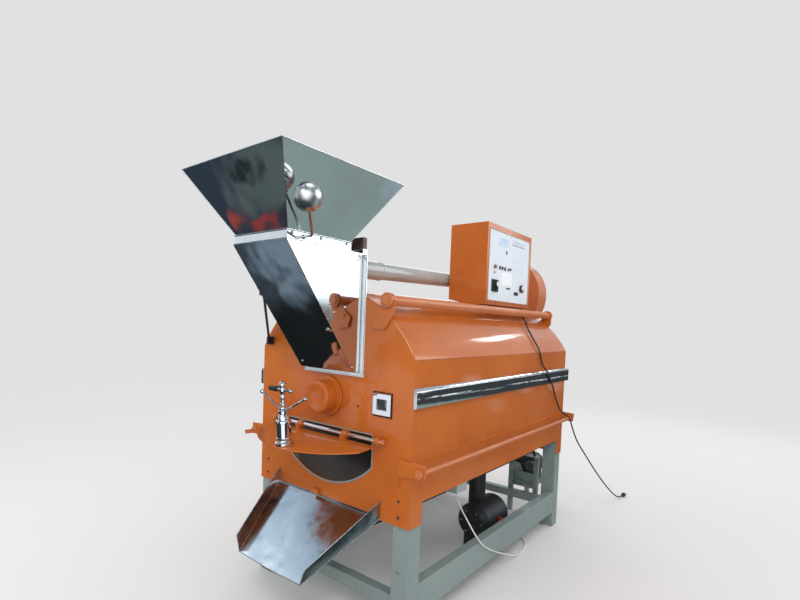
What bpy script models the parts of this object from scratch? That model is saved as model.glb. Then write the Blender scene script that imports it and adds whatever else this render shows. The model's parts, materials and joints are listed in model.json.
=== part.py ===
"""Floor-standing drum roaster for nuts and seeds, as separate pieces.

Lengths are metres and +Z is up. Pieces are drawn with Y = 0 on the front plate's face, X = 0 on the drum's
axis and Z = 0 on the floor; the root empty then moves them so that the origin is the bottom centre of the
roaster's box. Right is +X, the side with the control panel, and the front is -Y, the discharge end.
"""
import bpy
import bmesh
from math import acos, asin, atan2, ceil, cos, floor, hypot, pi, radians, sin, sqrt, tau
from mathutils import Matrix, Vector

# Clearances and mesh steps
GAP = 0.0003            # between pieces that touch
OVERRUN = 0.020         # how far a cutter passes a face
BURY = 0.002            # how far a welded piece reaches into its neighbour
WELD = 0.00001
SIDES = 24              # facets of ordinary round pieces
SMALL_SIDES = 16
DRUM_SIDES = 48
ARC_STEPS = 24
HOOD_STEPS = 48         # facets of half a turn, shared by everything that is rolled to the hood

# Body: end plates, casing and hood. Its section follows from the half width: the drum's axis lies that far up.
BODY_HALF = 0.500       # half width of the end plates
BODY_BASE = 0.500       # their lower edge above the floor
BODY_LENGTH = 1.745     # over both end plates
DRUM_Z = BODY_BASE + BODY_HALF
SHOULDER_RISE = 0.201   # the shoulders above the drum's axis
SHOULDER_Z = DRUM_Z + SHOULDER_RISE         # where the upright sides turn into the hood's arc
HOOD_SINK = 0.267       # the hood's centre below the shoulders
HOOD_CENTRE_Z = SHOULDER_Z - HOOD_SINK
HOOD_R = hypot(BODY_HALF, HOOD_SINK)
PLATE_T = 0.008
SHEET_T = 0.003
COVER_T = 0.0025
HOOD_SEAM_IN = 0.140    # edge of the top cover, in from the side
HOOD_SEAM_X = BODY_HALF - HOOD_SEAM_IN
HOOD_LAP = 0.030        # how far the side panels run under it
SKIRT_RISE = 0.098
SKIRT_Z = BODY_BASE + SKIRT_RISE            # lower edge of the casing between the corners
CORNER_DEPTH = 0.080    # casing corners that reach down to the plate's lower edge
TRIM_T = 0.0157
TRIM_DROP = 0.114       # the strip's top below the shoulder
TRIM_HEIGHT = 0.085
TRIM_Z = (SHOULDER_Z - TRIM_DROP - TRIM_HEIGHT, SHOULDER_Z - TRIM_DROP)
TRIM_FRONT = 0.004      # how far the strip passes the front plate
TRIM_REAR = 0.030
FRONT_IN = PLATE_T + GAP                    # just behind the front plate
REAR_IN = BODY_LENGTH - PLATE_T - GAP
COVER_R = HOOD_R + GAP + COVER_T            # outside of the top cover
HOOD_TOP_Z = HOOD_CENTRE_Z + COVER_R

# Stand
LEG_WIDTH = 0.090
LEG_DEPTH = 0.080
LEG_WALL = 0.005
LEG_LAP = 0.220         # how far the legs reach up inside the casing
LEG_TOP = BODY_BASE + LEG_LAP
LEG_OUT = BODY_HALF - SHEET_T - GAP         # legs stand inside the casing
RAIL_WALL = 0.004
SIDE_RAIL_Z = (0.100, 0.240)
SIDE_RAIL_WIDTH = 0.050
FRONT_RAIL_Z = (0.130, 0.190)
REAR_RAIL_Z = (0.120, 0.170)
CROSS_RAIL_DEPTH = 0.050

# Motor stand behind the rear cross rail
POST = 0.028
POST_HEIGHT = 0.430
POST_X = (0.128, 0.317)                     # near sides of the two rows of posts
STAND_DEPTH = 0.330
SHELF_Z = 0.235
SHELF_T = 0.006
APRON_Z = (0.190, 0.300)
APRON_T = 0.004

# Drum, shaft and bearings
DRUM_CLEAR = 0.080      # between the drum and the outside of the casing
DRUM_R = BODY_HALF - DRUM_CLEAR
DRUM_WALL = 0.004
DRUM_FRONT = 0.030
DRUM_REAR_IN = 0.045
DRUM_BACK = BODY_LENGTH - DRUM_REAR_IN
DRUM_PLATE_T = 0.006
VANES = 4
VANE_HEIGHT = 0.060
VANE_T = 0.004
VANE_FRONT = 0.350
SHAFT_R = 0.025
SHAFT_OUT = 0.067
SHAFT_BACK = BODY_LENGTH + SHAFT_OUT
SPIDER_Y = 0.250
SPIDER_ARMS = 3
SPIDER_R = 0.012
BOSS_FLANGE_R = 0.095
BOSS_FLANGE_T = 0.012
BOSS_R = 0.075
BOSS_LENGTH = 0.0775
BOSS_BORE_DEPTH = 0.060
REAR_BEARING_R = 0.060
REAR_BEARING_LENGTH = 0.040

# Chain drive
CHAIN_PITCH = 0.01905
DRUM_TEETH = 40
MOTOR_TEETH = 14
TOOTH_HEIGHT = 0.007
TOOTH_TOP_SHARE = 0.35
TOOTH_ROOT_SHARE = 0.25
SPROCKET_OUT = 0.045
SPROCKET_Y = BODY_LENGTH + SPROCKET_OUT
SPROCKET_T = 0.012
CHAIN_T = 0.014
CHAIN_OVER = 0.001      # how far the chain stands out of the sprocket on each side

# Gear motor
MOTOR_SHAFT = (0.265, 0.335)                # X and Z of its output shaft
MOTOR_SHAFT_R = 0.012
GEARBOX_X = (0.110, 0.300)
GEARBOX_OUT = 0.085
GEARBOX_DEPTH = 0.100
GEARBOX_Y = (BODY_LENGTH + GEARBOX_OUT, BODY_LENGTH + GEARBOX_OUT + GEARBOX_DEPTH)
GEARBOX_TOP = 0.400
MOTOR_R = 0.070
MOTOR_X = 0.200
MOTOR_LENGTH = 0.120
MOTOR_BACK = GEARBOX_Y[1] + MOTOR_LENGTH
TERMINAL_X = (0.125, 0.205)
TERMINAL_Z = (0.263, 0.344)
TERMINAL_DEPTH = 0.024

# Discharge opening and the other features of the front plate, from the drum's axis
HINGE_DROP = 0.153
HINGE_Z = DRUM_Z - HINGE_DROP
OPEN_OVER = 0.010       # top of the opening above the hinge
OPEN_TOP = HINGE_Z + OPEN_OVER
OPEN_IN = 0.020         # the opening's radius within the drum's
OPEN_R = DRUM_R - OPEN_IN
OPEN_SHARE = 0.7075
OPEN_HALF = OPEN_SHARE * OPEN_R
RIM_WIDTH = 0.008
RIM_PROUD = 0.003
SHAFT_HOLE_R = 0.030
TAB_X = (-0.076, -0.034)
TAB_RISE = 0.0215
TAB_HEIGHT = 0.0235
TAB_Z = (BODY_BASE + TAB_RISE, BODY_BASE + TAB_RISE + TAB_HEIGHT)
TAB_OUT = 0.020

# Sight window
WINDOW_IN = 0.165
WINDOW_X = BODY_HALF - WINDOW_IN
WINDOW_Z = DRUM_Z
WINDOW_FRAME = (0.100, 0.092)
WINDOW_HOLE = (0.055, 0.045)
WINDOW_PROUD = 0.010
PANE_T = 0.005
PANE_INSET = 0.003

# Tie rods and their ears
EAR_T = 0.010
UPPER_ROD_TURN = radians(55.44)
UPPER_ROD_OUT = 0.0537  # the upper rods outside the hood
UPPER_ROD = ((HOOD_R + UPPER_ROD_OUT) * cos(UPPER_ROD_TURN),
             HOOD_CENTRE_Z + (HOOD_R + UPPER_ROD_OUT) * sin(UPPER_ROD_TURN))
UPPER_ROD_R = 0.023
UPPER_BOSS_R = 0.032
BOSS_SINK = 0.0005      # its faces within the ear's
UPPER_EAR_REACH = 0.140
UPPER_EAR_SHARES = ((0.22, -0.04), (0.21, -0.44), (-0.12, -0.90), (-0.56, -0.86), (-0.66, -0.55),
                    (-0.27, -0.21), (-0.22, 0.06))
LOWER_ROD_OUT = 0.050
LOWER_ROD_RISE = 0.247
LOWER_ROD = (BODY_HALF + LOWER_ROD_OUT, BODY_BASE + LOWER_ROD_RISE)
LOWER_ROD_R = 0.0115
LOWER_NUT_R = 0.018
LOWER_EAR_REACH = 0.115
LOWER_EAR_SHARES = ((-0.99, 0.37), (-0.96, -0.30), (-0.12, -0.19), (0.17, -0.19), (0.22, 0.29))
NUT_T = 0.014
ROD_STUB = 0.006        # rod end beyond its nut

# Fire box under the drum
FIRE_BOX_IN = 0.200
FIRE_BOX_HALF = BODY_HALF - FIRE_BOX_IN
FIRE_BOX_DROP = 0.040   # its floor below the end plates
FIRE_BOX_HEIGHT = 0.140
FIRE_BOX_Z = (BODY_BASE - FIRE_BOX_DROP, BODY_BASE - FIRE_BOX_DROP + FIRE_BOX_HEIGHT)
JUNCTION_OUT = 0.085
JUNCTION_Y = (0.560, 0.660)
JUNCTION_IN = (0.0225, 0.040)               # its lower and upper side within the fire box's height
JUNCTION_Z = (FIRE_BOX_Z[0] + JUNCTION_IN[0], FIRE_BOX_Z[1] - JUNCTION_IN[1])

# Feed chute, collar, hopper and flap
FEED_X = 0.025
CHUTE_HALF = 0.172
CHUTE_T = 0.002
CHUTE_CLEAR = 0.034     # between the chute's foot and the bearing's flange
CHUTE_FOOT = DRUM_Z + BOSS_FLANGE_R + CHUTE_CLEAR
CHUTE_HEIGHT = 0.520
CHUTE_TOP = CHUTE_FOOT + CHUTE_HEIGHT
CHUTE_FRONT = -0.425
CHUTE_FOOT_DEPTH = 0.044
MOUTH_DROP = 0.169
CHUTE_MOUTH_TOP = CHUTE_TOP - MOUTH_DROP
FEED_HOLE_IN = (0.027, 0.032)               # within the chute's left and right side
FEED_HOLE_X = (FEED_X - CHUTE_HALF + FEED_HOLE_IN[0], FEED_X + CHUTE_HALF - FEED_HOLE_IN[1])
FEED_SILL = 0.031
FEED_HOLE_HEIGHT = 0.195
FEED_HOLE_Z = (CHUTE_FOOT + FEED_SILL, CHUTE_FOOT + FEED_SILL + FEED_HOLE_HEIGHT)
COLLAR_IN = 0.004
COLLAR_HALF = CHUTE_HALF - COLLAR_IN
COLLAR_T = 0.003
COLLAR_HEIGHT = 0.037
COLLAR_ENDS = (0.005, 0.078)                # behind the chute's front edge, and in front of the plate
COLLAR_Y = (CHUTE_FRONT + COLLAR_ENDS[0], -COLLAR_ENDS[1])
HOPPER_FLARE = 0.155
HOPPER_FOOT_HALF = COLLAR_HALF
HOPPER_RIM_HALF = HOPPER_FOOT_HALF + HOPPER_FLARE
HOPPER_HEIGHT = 0.2545
HOPPER_T = 0.002
FLAP_SHAFT_R = 0.005
FLAP_PIVOT_IN = (0.083, 0.019)              # behind the collar's front, and above the chute
FLAP_PIVOT_Y = COLLAR_Y[0] + FLAP_PIVOT_IN[0]
FLAP_PIVOT_Z = CHUTE_TOP + FLAP_PIVOT_IN[1]
FLAP_T = 0.003
FLAP_MARGIN = 0.0025
FLAP_SHAFT_STUB = 0.010
LEVER_BEND_OUT = 0.047
LEVER_BEND_X = FEED_X + COLLAR_HALF + LEVER_BEND_OUT
LEVER_REACH = (0.110, 0.1215, 0.102)        # out, forward and up from the bend
LEVER_BALL = (LEVER_BEND_X + LEVER_REACH[0], FLAP_PIVOT_Y - LEVER_REACH[1], FLAP_PIVOT_Z + LEVER_REACH[2])
LEVER_BALL_R = 0.051

# Stay bar behind the chute
STAY_WIDTH = 0.036
STAY_T = 0.006
STAY_FORWARD = 0.260
STAY_DROP = 0.179
STAY_TOP = (-STAY_FORWARD, CHUTE_TOP - STAY_DROP)           # Y and Z on the chute's left side
STAY_FOOT_IN = 0.060
STAY_FOOT_RISE = 0.034
STAY_FOOT = (STAY_FOOT_IN - BODY_HALF, SHOULDER_Z + STAY_FOOT_RISE)     # X and Z on the front plate
STAY_PAD = 0.040
STAY_PAD_T = 0.018

# Vent riser and exhaust pipe
RISER_X = (-0.100, 0.182)
RISER_DEPTH = 0.0277
RISER_Y = (FRONT_IN, FRONT_IN + RISER_DEPTH)
RISER_RISE = 0.1694
RISER_TOP = HOOD_TOP_Z + RISER_RISE
RISER_T = 0.003
RISER_CAP_HEIGHT = 0.051
RISER_CAP_INSET = 0.0015
RISER_HOLE_MARGIN = 0.006
PIPE_R = 0.0425
PIPE_T = 0.002
PIPE_START_DROP = 0.0663
PIPE_START_Z = RISER_TOP - PIPE_START_DROP
PIPE_FIT = 0.0006
PIPE_END_IN = 0.004
SLEEVE_R = 0.046
SLEEVE_START = 0.014
SLEEVE_LENGTH = 0.283
SLEEVE_Y = (RISER_Y[1] + SLEEVE_START, RISER_Y[1] + SLEEVE_START + SLEEVE_LENGTH)

# Fan behind the rear plate
FAN_X = 0.0
FAN_DROP = 0.018        # its axis below the riser's top
FAN_Z = RISER_TOP - FAN_DROP
FAN_OUT = 0.055
FAN_DEPTH = 0.140
FAN_Y = (BODY_LENGTH + FAN_OUT, BODY_LENGTH + FAN_OUT + FAN_DEPTH)
FAN_T = 0.003
SCROLL_START_R = 0.166
SCROLL_END_R = 0.3745
SCROLL_STEPS = 30
OUTLET_REACH = 0.300
OUTLET_HEIGHT = 0.200
IMPELLER_R = 0.130
IMPELLER_EYE_R = 0.060
IMPELLER_HUB_R = 0.030
IMPELLER_IN = (0.030, 0.037)                # behind the housing's front, and in front of its back
IMPELLER_Y = (FAN_Y[0] + IMPELLER_IN[0], FAN_Y[1] - IMPELLER_IN[1])
IMPELLER_HUB_LENGTH = 0.041
IMPELLER_HUB_Y = IMPELLER_Y[1] - IMPELLER_HUB_LENGTH
BLADE_T = 0.003
BLADES = 8
FAN_MOTOR_R = 0.080
FAN_MOTOR_LENGTH = 0.180
FAN_MOTOR_BACK = FAN_Y[1] + FAN_MOTOR_LENGTH
FAN_COWL_R = 0.070
FAN_COWL_LENGTH = 0.020
FAN_COWL_BACK = FAN_MOTOR_BACK + FAN_COWL_LENGTH
FAN_SHAFT_R = 0.008
FAN_SHAFT_HOLE_R = 0.014
FAN_SHELF_X = (-0.270, 0.040)
FAN_SHELF_T = 0.008
FAN_SHELF_DEPTH = 0.190
FAN_SHELF_BURY = 0.0036
GUSSET_DROP = 0.120
GUSSET_BURY = 0.0052
GUSSET_LAP = 0.0030

# Discharge door, hinge and clamp
HINGE_Y = -0.030
HINGE_ROD_R = 0.009
HINGE_BALL_R = 0.012
DOOR_LAP = (0.047, 0.020)                   # beyond the opening at the sides, and round its arc
DOOR_HALF = OPEN_HALF + DOOR_LAP[0]
DOOR_R = OPEN_R + DOOR_LAP[1]
LUG_OUT = 0.012         # the lugs outside the door
LUG_X = DOOR_HALF + LUG_OUT
LUG_R = 0.016
LUG_WIDTH = 0.022
LUG_WEB = 0.012
HINGE_ROD_OUT = 0.002
HINGE_ROD_HALF = LUG_X + LUG_WIDTH / 2 + HINGE_ROD_OUT
KNUCKLE_X = 0.150
KNUCKLE_WIDTH = 0.030
DOOR_T = 0.004
DOOR_SEAT = 0.0005      # between the shut door and the rim
DOOR_OPEN = radians(86)
DOOR_DROP = 0.004       # top edge of the shut door below the hinge's axis
HANDLE_TURNS = (radians(49.15), radians(50.81))             # below the level, round the drum's axis
HANDLE_IN = 0.0194      # its ends within and outside the door's radius
HANDLE_OUT = 0.0548
HANDLE_WIDTH = 0.034
HANDLE_T = 0.010
CLAMP_IN = 0.044        # clamp's axis within the door's radius
CLAMP_DROP = HINGE_Z - DRUM_Z + DOOR_R - CLAMP_IN           # below the hinge on the shut door
CLAMP_PAD_R = 0.042
BARREL_R = 0.033
BARREL_FLANGE_R = 0.039
BARREL_FLANGE_T = 0.012
BARREL_HEIGHT = 0.135
BARREL_BORE_DEPTH = 0.115
WING_HUB_R = 0.022
WING_HUB_T = 0.028
WING_REACH = 0.145
WING_RISE = 0.066
WING_R = 0.0055
WING_BALL_R = 0.010
SPINDLE_R = 0.008
SPINDLE_TOP = 0.250
SPINDLE_BALL_R = 0.021
T_LEVER = (-0.086, 0.054)
T_LEVER_R = 0.0065
T_GRIP_R = 0.012
T_GRIP_LENGTH = 0.055
T_END_R = 0.010

# Discharge tray
TRAY_REAR_IN = 0.156
TRAY_REAR_HALF = BODY_HALF - TRAY_REAR_IN
TRAY_TAPER = 0.135
TRAY_FRONT_HALF = TRAY_REAR_HALF - TRAY_TAPER
TRAY_RISE = 0.005
TRAY_REAR_Z = BODY_BASE + TRAY_RISE
TRAY_FRONT_Y = -0.321
TRAY_FALL = 0.210
TRAY_FRONT_Z = TRAY_REAR_Z - TRAY_FALL
TRAY_WALL_REAR = 0.080
TRAY_WALL_FRONT = 0.067
TRAY_FLARE = 0.023
TRAY_FLANGE = 0.012
TRAY_FOLD = 0.006
TRAY_T = 0.002

# Control box between the upper tie rods, and what is on it
BOX_ROD_GAP = 0.047     # its side within the tie rod's axis
BOX_DEPTH = 0.250
BOX_X = (UPPER_ROD[0] - BOX_ROD_GAP - BOX_DEPTH, UPPER_ROD[0] - BOX_ROD_GAP)
BOX_REAR_IN = 0.215
BOX_WIDTH = 0.608
BOX_Y = (BODY_LENGTH - BOX_REAR_IN - BOX_WIDTH, BODY_LENGTH - BOX_REAR_IN)
BOX_CUT_IN = 0.130      # lower inner edge cut off to clear the hood
BOX_CUT_X = BOX_X[1] - BOX_CUT_IN
BOX_CLEAR = 0.0039      # over the hood at that edge
BOX_BASE = HOOD_CENTRE_Z + sqrt(COVER_R ** 2 - BOX_CUT_X ** 2) + BOX_CLEAR
BOX_HEIGHT = 0.475
BOX_Z = (BOX_BASE, BOX_BASE + BOX_HEIGHT)
BOX_CUT_RISE = 0.030
BOX_CUT_Z = BOX_BASE + BOX_CUT_RISE
BOX_T = 0.002
PANEL_MARGIN_Y = 0.026
PANEL_MARGIN_Z = (0.028, 0.034)
PANEL_T = 0.0035
PANEL_INSET = 0.0015
FOOT_IN = (0.125, 0.043)
FOOT_X = (BOX_X[0] + FOOT_IN[0], BOX_X[1] - FOOT_IN[1])
FOOT_WIDTH = 0.040
FOOT_INSET = 0.070
SWITCH_IN = (0.105, 0.116)                  # from the box's front and lower side
SWITCH_AT = (BOX_Y[0] + SWITCH_IN[0], BOX_BASE + SWITCH_IN[1])
SWITCH_BASE = 0.062
SWITCH_BASE_T = 0.010
SWITCH_R = 0.021
SWITCH_HEIGHT = 0.012
SWITCH_BAR = (0.012, 0.050, 0.012)
KNOB_IN = (0.132, 0.124)                    # from the box's rear and lower side
KNOB_AT = (BOX_Y[1] - KNOB_IN[0], BOX_BASE + KNOB_IN[1])
KNOB_R = 0.025
KNOB_TOP_R = 0.021
KNOB_HEIGHT = 0.022
BUTTON_IN = (0.100, 0.228)
BUTTON_AT = (BOX_Y[0] + BUTTON_IN[0], BOX_BASE + BUTTON_IN[1])
BUTTON_R = 0.011
BUTTON_HEIGHT = 0.009
BUTTON_TRAVEL = 0.003
BUTTON_STEM_R = 0.005
BUTTON_STEM = 0.012

# Burner under the fire box
BURNER_IN = 0.010        # its axis within the fire box's side
BURNER_X = FIRE_BOX_HALF - BURNER_IN
BURNER_Z = 0.200
BURNER_R = 0.105
BURNER_Y = (0.900, 1.200)
BURNER_ROUND = 0.030
BURNER_WALL = 0.003
INTAKE_R = 0.045
BURNER_NECK_IN = 0.060   # the neck's axis within the fire box's side
BURNER_NECK_X = FIRE_BOX_HALF - BURNER_NECK_IN
BURNER_NECK_Y = 1.050
BURNER_NECK_R = 0.050
BURNER_HOLE_R = 0.042
BURNER_FOOT_HALF = 0.070
BURNER_FOOT_T = 0.030
BURNER_FOOT_INSET = 0.045
FITTING_Y = 1.050
FITTING_R = 0.018
FITTING_OUT = 0.018

# Cords
GLAND_IN = (0.020, 0.080)                   # within the box's right side, and in front of its rear side
GLAND_AT = (BOX_X[1] - GLAND_IN[0], BOX_Y[1] - GLAND_IN[1])
GLAND_R = 0.012
GLAND_LENGTH = 0.022
MAINS_R = 0.0045
MAINS_STEP = 0.0295
PLUG_R = 0.016
PLUG_LENGTH = 0.045
PLUG_PIN_R = 0.0024
PLUG_PIN_LENGTH = 0.019
PLUG_PIN_SPACING = 0.019
CABLE_R = 0.0035
CABLE_STEP = 0.020

# The mains cord's route: from the gland's lower end; over the hood, as its turn, its place outside the hood and
# its Y from the rear plate; down the side, past the lower tie rod and down to the floor, as its place outside
# the casing, its Y from the rear plate and its Z from the shoulder, from the rod and from the floor
MAINS_LEAD = ((0.0, 0.0, 0.0), (0.0, 0.0, -0.0134), (0.015, -0.018, -0.0274))
MAINS_HOOD = ((radians(52.846), 0.0210, -0.380), (radians(45.419), 0.0130, -0.440),
              (radians(35.036), 0.0115, -0.475), (radians(29.918), 0.0106, -0.475))
MAINS_SIDE = ((0.0085, -0.460, -0.029), (0.0120, -0.430, -0.076), (0.0225, -0.397, -0.109),
              (0.0215, -0.325, -0.171), (0.0215, -0.270, -0.221))
MAINS_PAST = ((0.014, -0.175, 0.138), (0.024, -0.105, 0.058), (0.068, -0.071, 0.018), (0.076, -0.053, -0.017),
              (0.082, -0.010, -0.082), (0.088, 0.075, -0.172), (0.102, 0.165, -0.252))
MAINS_FALL = ((0.128, 0.400, 0.308), (0.160, 0.605, 0.150), (0.190, 0.755, 0.048), (0.205, 0.845, 0.0165),
              (0.212, 0.895, 0.0165))
# The cable's route, as its place outside the casing, its Y, and its Z from the junction box and from the floor
CABLE_LEAD = ((-0.140, 0.609, -0.0003), (-0.140, 0.609, -0.0245), (-0.139, 0.609, -0.0425),
              (-0.103, 0.592, -0.0825), (-0.054, 0.580, -0.1325), (-0.008, 0.588, -0.1975))
CABLE_FALL = ((0.0085, 0.648, 0.217), (0.0095, 0.775, 0.143), (0.009, 0.905, 0.082), (0.006, 1.040, 0.024),
              (0.001, 1.135, 0.0045), (-0.010, 1.220, 0.0045), (-0.040, 1.292, 0.0045), (-0.090, 1.338, 0.0060),
              (-0.145, 1.345, 0.0280), (-0.188, 1.315, 0.0830), (-0.207, 1.270, 0.1270), (-0.210, 1.232, 0.1400),
              (-0.210, 1.2003, 0.1400))

# The origin's place along Y: the middle between the hopper's front rim and the fan motor's back
HOPPER_Y = (COLLAR_Y[0] + COLLAR_Y[1]) / 2
FRONT_MOST = HOPPER_Y - HOPPER_RIM_HALF
MID_Y = (FRONT_MOST + FAN_COWL_BACK) / 2


def clear_scene():
    for item in list(bpy.data.objects):
        bpy.data.objects.remove(item, do_unlink=True)


def new_group(name):
    group = bpy.data.collections.new(name)
    bpy.context.scene.collection.children.link(group)
    return group


def new_finish(name, colour, roughness, metallic=0.0, alpha=1.0):
    """A Principled material."""
    finish = bpy.data.materials.new(name)
    finish.use_nodes = True
    shader = finish.node_tree.nodes["Principled BSDF"]
    shader.inputs["Base Color"].default_value = (*colour, 1)
    shader.inputs["Roughness"].default_value = roughness
    shader.inputs["Metallic"].default_value = metallic
    shader.inputs["Alpha"].default_value = alpha
    finish.diffuse_color = (*colour, alpha)
    return finish


clear_scene()
PARTS = new_group("drum_roaster")
CUTTERS = new_group("cutters")
ORANGE = new_finish("orange_paint", (0.72, 0.24, 0.05), 0.35)
GREY = new_finish("grey_green_paint", (0.25, 0.31, 0.30), 0.5)
STEEL = new_finish("mirror_steel", (0.75, 0.76, 0.77), 0.08, 1)
CHROME = new_finish("chrome", (0.85, 0.86, 0.88), 0.05, 1)
BARE = new_finish("bare_steel", (0.35, 0.34, 0.33), 0.45, 1)
PALE_GREY = new_finish("pale_grey_paint", (0.45, 0.50, 0.50), 0.45)
DARK = new_finish("dark_paint", (0.03, 0.035, 0.04), 0.5)
BLACK = new_finish("black_plastic", (0.01, 0.01, 0.012), 0.4)
WHITE = new_finish("pale_panel", (0.75, 0.80, 0.88), 0.4)
RED = new_finish("orange_button", (0.85, 0.20, 0.05), 0.35)
GLASS = new_finish("sight_glass", (0.55, 0.62, 0.62), 0.05, 0, 0.35)
WHITE_CABLE = new_finish("white_cable", (0.8, 0.8, 0.8), 0.5)


def new_carrier(name, point, parent=None, tilt=0.0):
    """An empty at a point of the roaster, which turns about X what it carries."""
    carrier = bpy.data.objects.new(name, None)
    PARTS.objects.link(carrier)
    carrier.location = Vector(point)
    if parent is None:
        carrier.location.y -= MID_Y
    carrier.rotation_euler.x = tilt
    carrier.parent = parent
    return carrier, Vector(point)


ROOT = new_carrier("roaster_origin", (0, 0, 0))
DOOR_CARRIER = new_carrier("door_hinge", (0, HINGE_Y, HINGE_Z), ROOT[0], -DOOR_OPEN)


def held_mesh(shape, name):
    mesh = bpy.data.meshes.new(name)
    bmesh.ops.recalc_face_normals(shape, faces=shape.faces)
    shape.to_mesh(mesh)
    shape.free()
    return mesh


def solid_of(data, matrix, modify=None):
    """The welded mesh of a curve or of a mesh with modifiers, moved by the matrix."""
    guide = bpy.data.objects.new("guide", data)
    bpy.context.scene.collection.objects.link(guide)
    if modify:
        modify(guide)
    bpy.context.view_layer.update()
    evaluated = guide.evaluated_get(bpy.context.evaluated_depsgraph_get())
    mesh = bpy.data.meshes.new_from_object(evaluated)
    bpy.data.objects.remove(guide, do_unlink=True)
    shape = bmesh.new()
    shape.from_mesh(mesh)
    bpy.data.meshes.remove(mesh)
    bmesh.ops.remove_doubles(shape, verts=shape.verts, dist=WELD)
    shape.transform(matrix)
    return held_mesh(shape, "solid")


def pointing(start, direction):
    """Moves Z to a direction and the origin to a start."""
    turn = Vector((0, 0, 1)).rotation_difference(Vector(direction))
    return Matrix.Translation(Vector(start)) @ turn.to_matrix().to_4x4()


def box(low, high):
    low, high = Vector(low), Vector(high)
    shape = bmesh.new()
    size = Matrix.Diagonal((*(high - low), 1))
    bmesh.ops.create_cube(shape, size=1, matrix=Matrix.Translation((low + high) / 2) @ size)
    return held_mesh(shape, "box")


def rod(start, end, radius, sides=SIDES):
    start, end = Vector(start), Vector(end)
    shape = bmesh.new()
    matrix = pointing((start + end) / 2, end - start)
    bmesh.ops.create_cone(shape, cap_ends=True, segments=sides, radius1=radius, radius2=radius,
                          depth=(end - start).length, matrix=matrix)
    return held_mesh(shape, "rod")


def ball(centre, radius, sides=SMALL_SIDES):
    shape = bmesh.new()
    bmesh.ops.create_uvsphere(shape, u_segments=sides, v_segments=sides // 2 + 2, radius=radius,
                              matrix=Matrix.Translation(Vector(centre)))
    return held_mesh(shape, "ball")


def bar(start, end, width, thick):
    """A flat bar from point to point, its width as upright as it can be."""
    start, end = Vector(start), Vector(end)
    shape = bmesh.new()
    matrix = Matrix.Translation((start + end) / 2) @ (end - start).to_track_quat("Y", "Z").to_matrix().to_4x4()
    size = Matrix.Diagonal((thick, (end - start).length, width, 1))
    bmesh.ops.create_cube(shape, size=1, matrix=matrix @ size)
    return held_mesh(shape, "bar")


def slab(loops, span, axis="Y"):
    """Flat outlines, the inner ones as holes, drawn across an axis and thick from one place on it to another."""
    outline = bpy.data.curves.new("outline", "CURVE")
    outline.dimensions = "2D"
    outline.fill_mode = "BOTH"
    outline.extrude = (span[1] - span[0]) / 2
    for loop in loops:
        spline = outline.splines.new("POLY")
        spline.points.add(len(loop) - 1)
        for point, (across, up) in zip(spline.points, loop):
            point.co = (across, up, 0, 1)
        spline.use_cyclic_u = True
    turns = {"X": Matrix(((0, 0, 1, 0), (1, 0, 0, 0), (0, 1, 0, 0), (0, 0, 0, 1))),
             "Y": Matrix.Rotation(pi / 2, 4, "X"), "Z": Matrix.Identity(4)}
    middle = Vector([(span[0] + span[1]) / 2 if letter == axis else 0 for letter in "XYZ"])
    return solid_of(outline, Matrix.Translation(middle) @ turns[axis])


def turned(profile, start, direction, sides=SIDES, closed=False):
    """A turned solid: radius and place along the axis from the start, from its far end back."""
    mesh = bpy.data.meshes.new("profile")
    points = [(radius, 0, place) for radius, place in profile]
    edges = [(index, index + 1) for index in range(len(points) - 1)]
    if closed:
        edges.append((len(points) - 1, 0))
    mesh.from_pydata(points, edges, [])

    def screw(guide):
        turn = guide.modifiers.new("turn", "SCREW")
        turn.steps = sides
        turn.render_steps = sides
        turn.use_merge_vertices = True
        turn.merge_threshold = WELD

    return solid_of(mesh, pointing(start, direction), screw)


def tube(points, radius, resolution=2):
    path = bpy.data.curves.new("path", "CURVE")
    path.dimensions = "3D"
    path.bevel_depth = radius
    path.bevel_resolution = resolution
    path.use_fill_caps = True
    spline = path.splines.new("POLY")
    spline.points.add(len(points) - 1)
    for point, place in zip(spline.points, points):
        point.co = (*place, 1)
    return solid_of(path, Matrix.Identity(4))


def set_in(mesh, origin, carrier):
    """Draws the mesh round its origin and returns where that origin lies on its carrier."""
    mesh.transform(Matrix.Translation(-Vector(origin)))
    return Vector(origin) - carrier[1]


def piece(name, mesh, finish, origin=(0, 0, 0), carrier=ROOT):
    """One named part."""
    place = set_in(mesh, origin, carrier)
    mesh.name = name
    mesh.materials.append(finish)
    mesh.shade_smooth()
    mesh.set_sharp_from_angle(angle=radians(35))
    part = bpy.data.objects.new(name, mesh)
    PARTS.objects.link(part)
    part.parent = carrier[0]
    part.location = place
    return part


def tool(part, label, mesh, operation, carrier):
    """A guide object that cuts the part or is welded to it."""
    guide = bpy.data.objects.new(part.name + "_" + label, mesh)
    CUTTERS.objects.link(guide)
    guide.location = set_in(mesh, (0, 0, 0), carrier)
    guide.parent = carrier[0]
    guide.hide_render = True
    guide.display_type = "WIRE"
    step = part.modifiers.new(label, "BOOLEAN")
    step.operation = operation
    step.object = guide


def cut(part, label, mesh, carrier=ROOT):
    tool(part, label, mesh, "DIFFERENCE", carrier)


def weld(part, label, mesh, carrier=ROOT):
    tool(part, label, mesh, "UNION", carrier)


def arc(centre, radius, start, end, steps=ARC_STEPS):
    """Points of an arc, both ends included."""
    turns = [start + (end - start) * step / steps for step in range(steps + 1)]
    return [(centre[0] + radius * cos(turn), centre[1] + radius * sin(turn)) for turn in turns]


def circle(centre, radius, sides=SIDES):
    return arc(centre, radius, 0, tau, sides)[:-1]


def rectangle(across, up):
    return [(across[0], up[0]), (across[1], up[0]), (across[1], up[1]), (across[0], up[1])]


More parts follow.
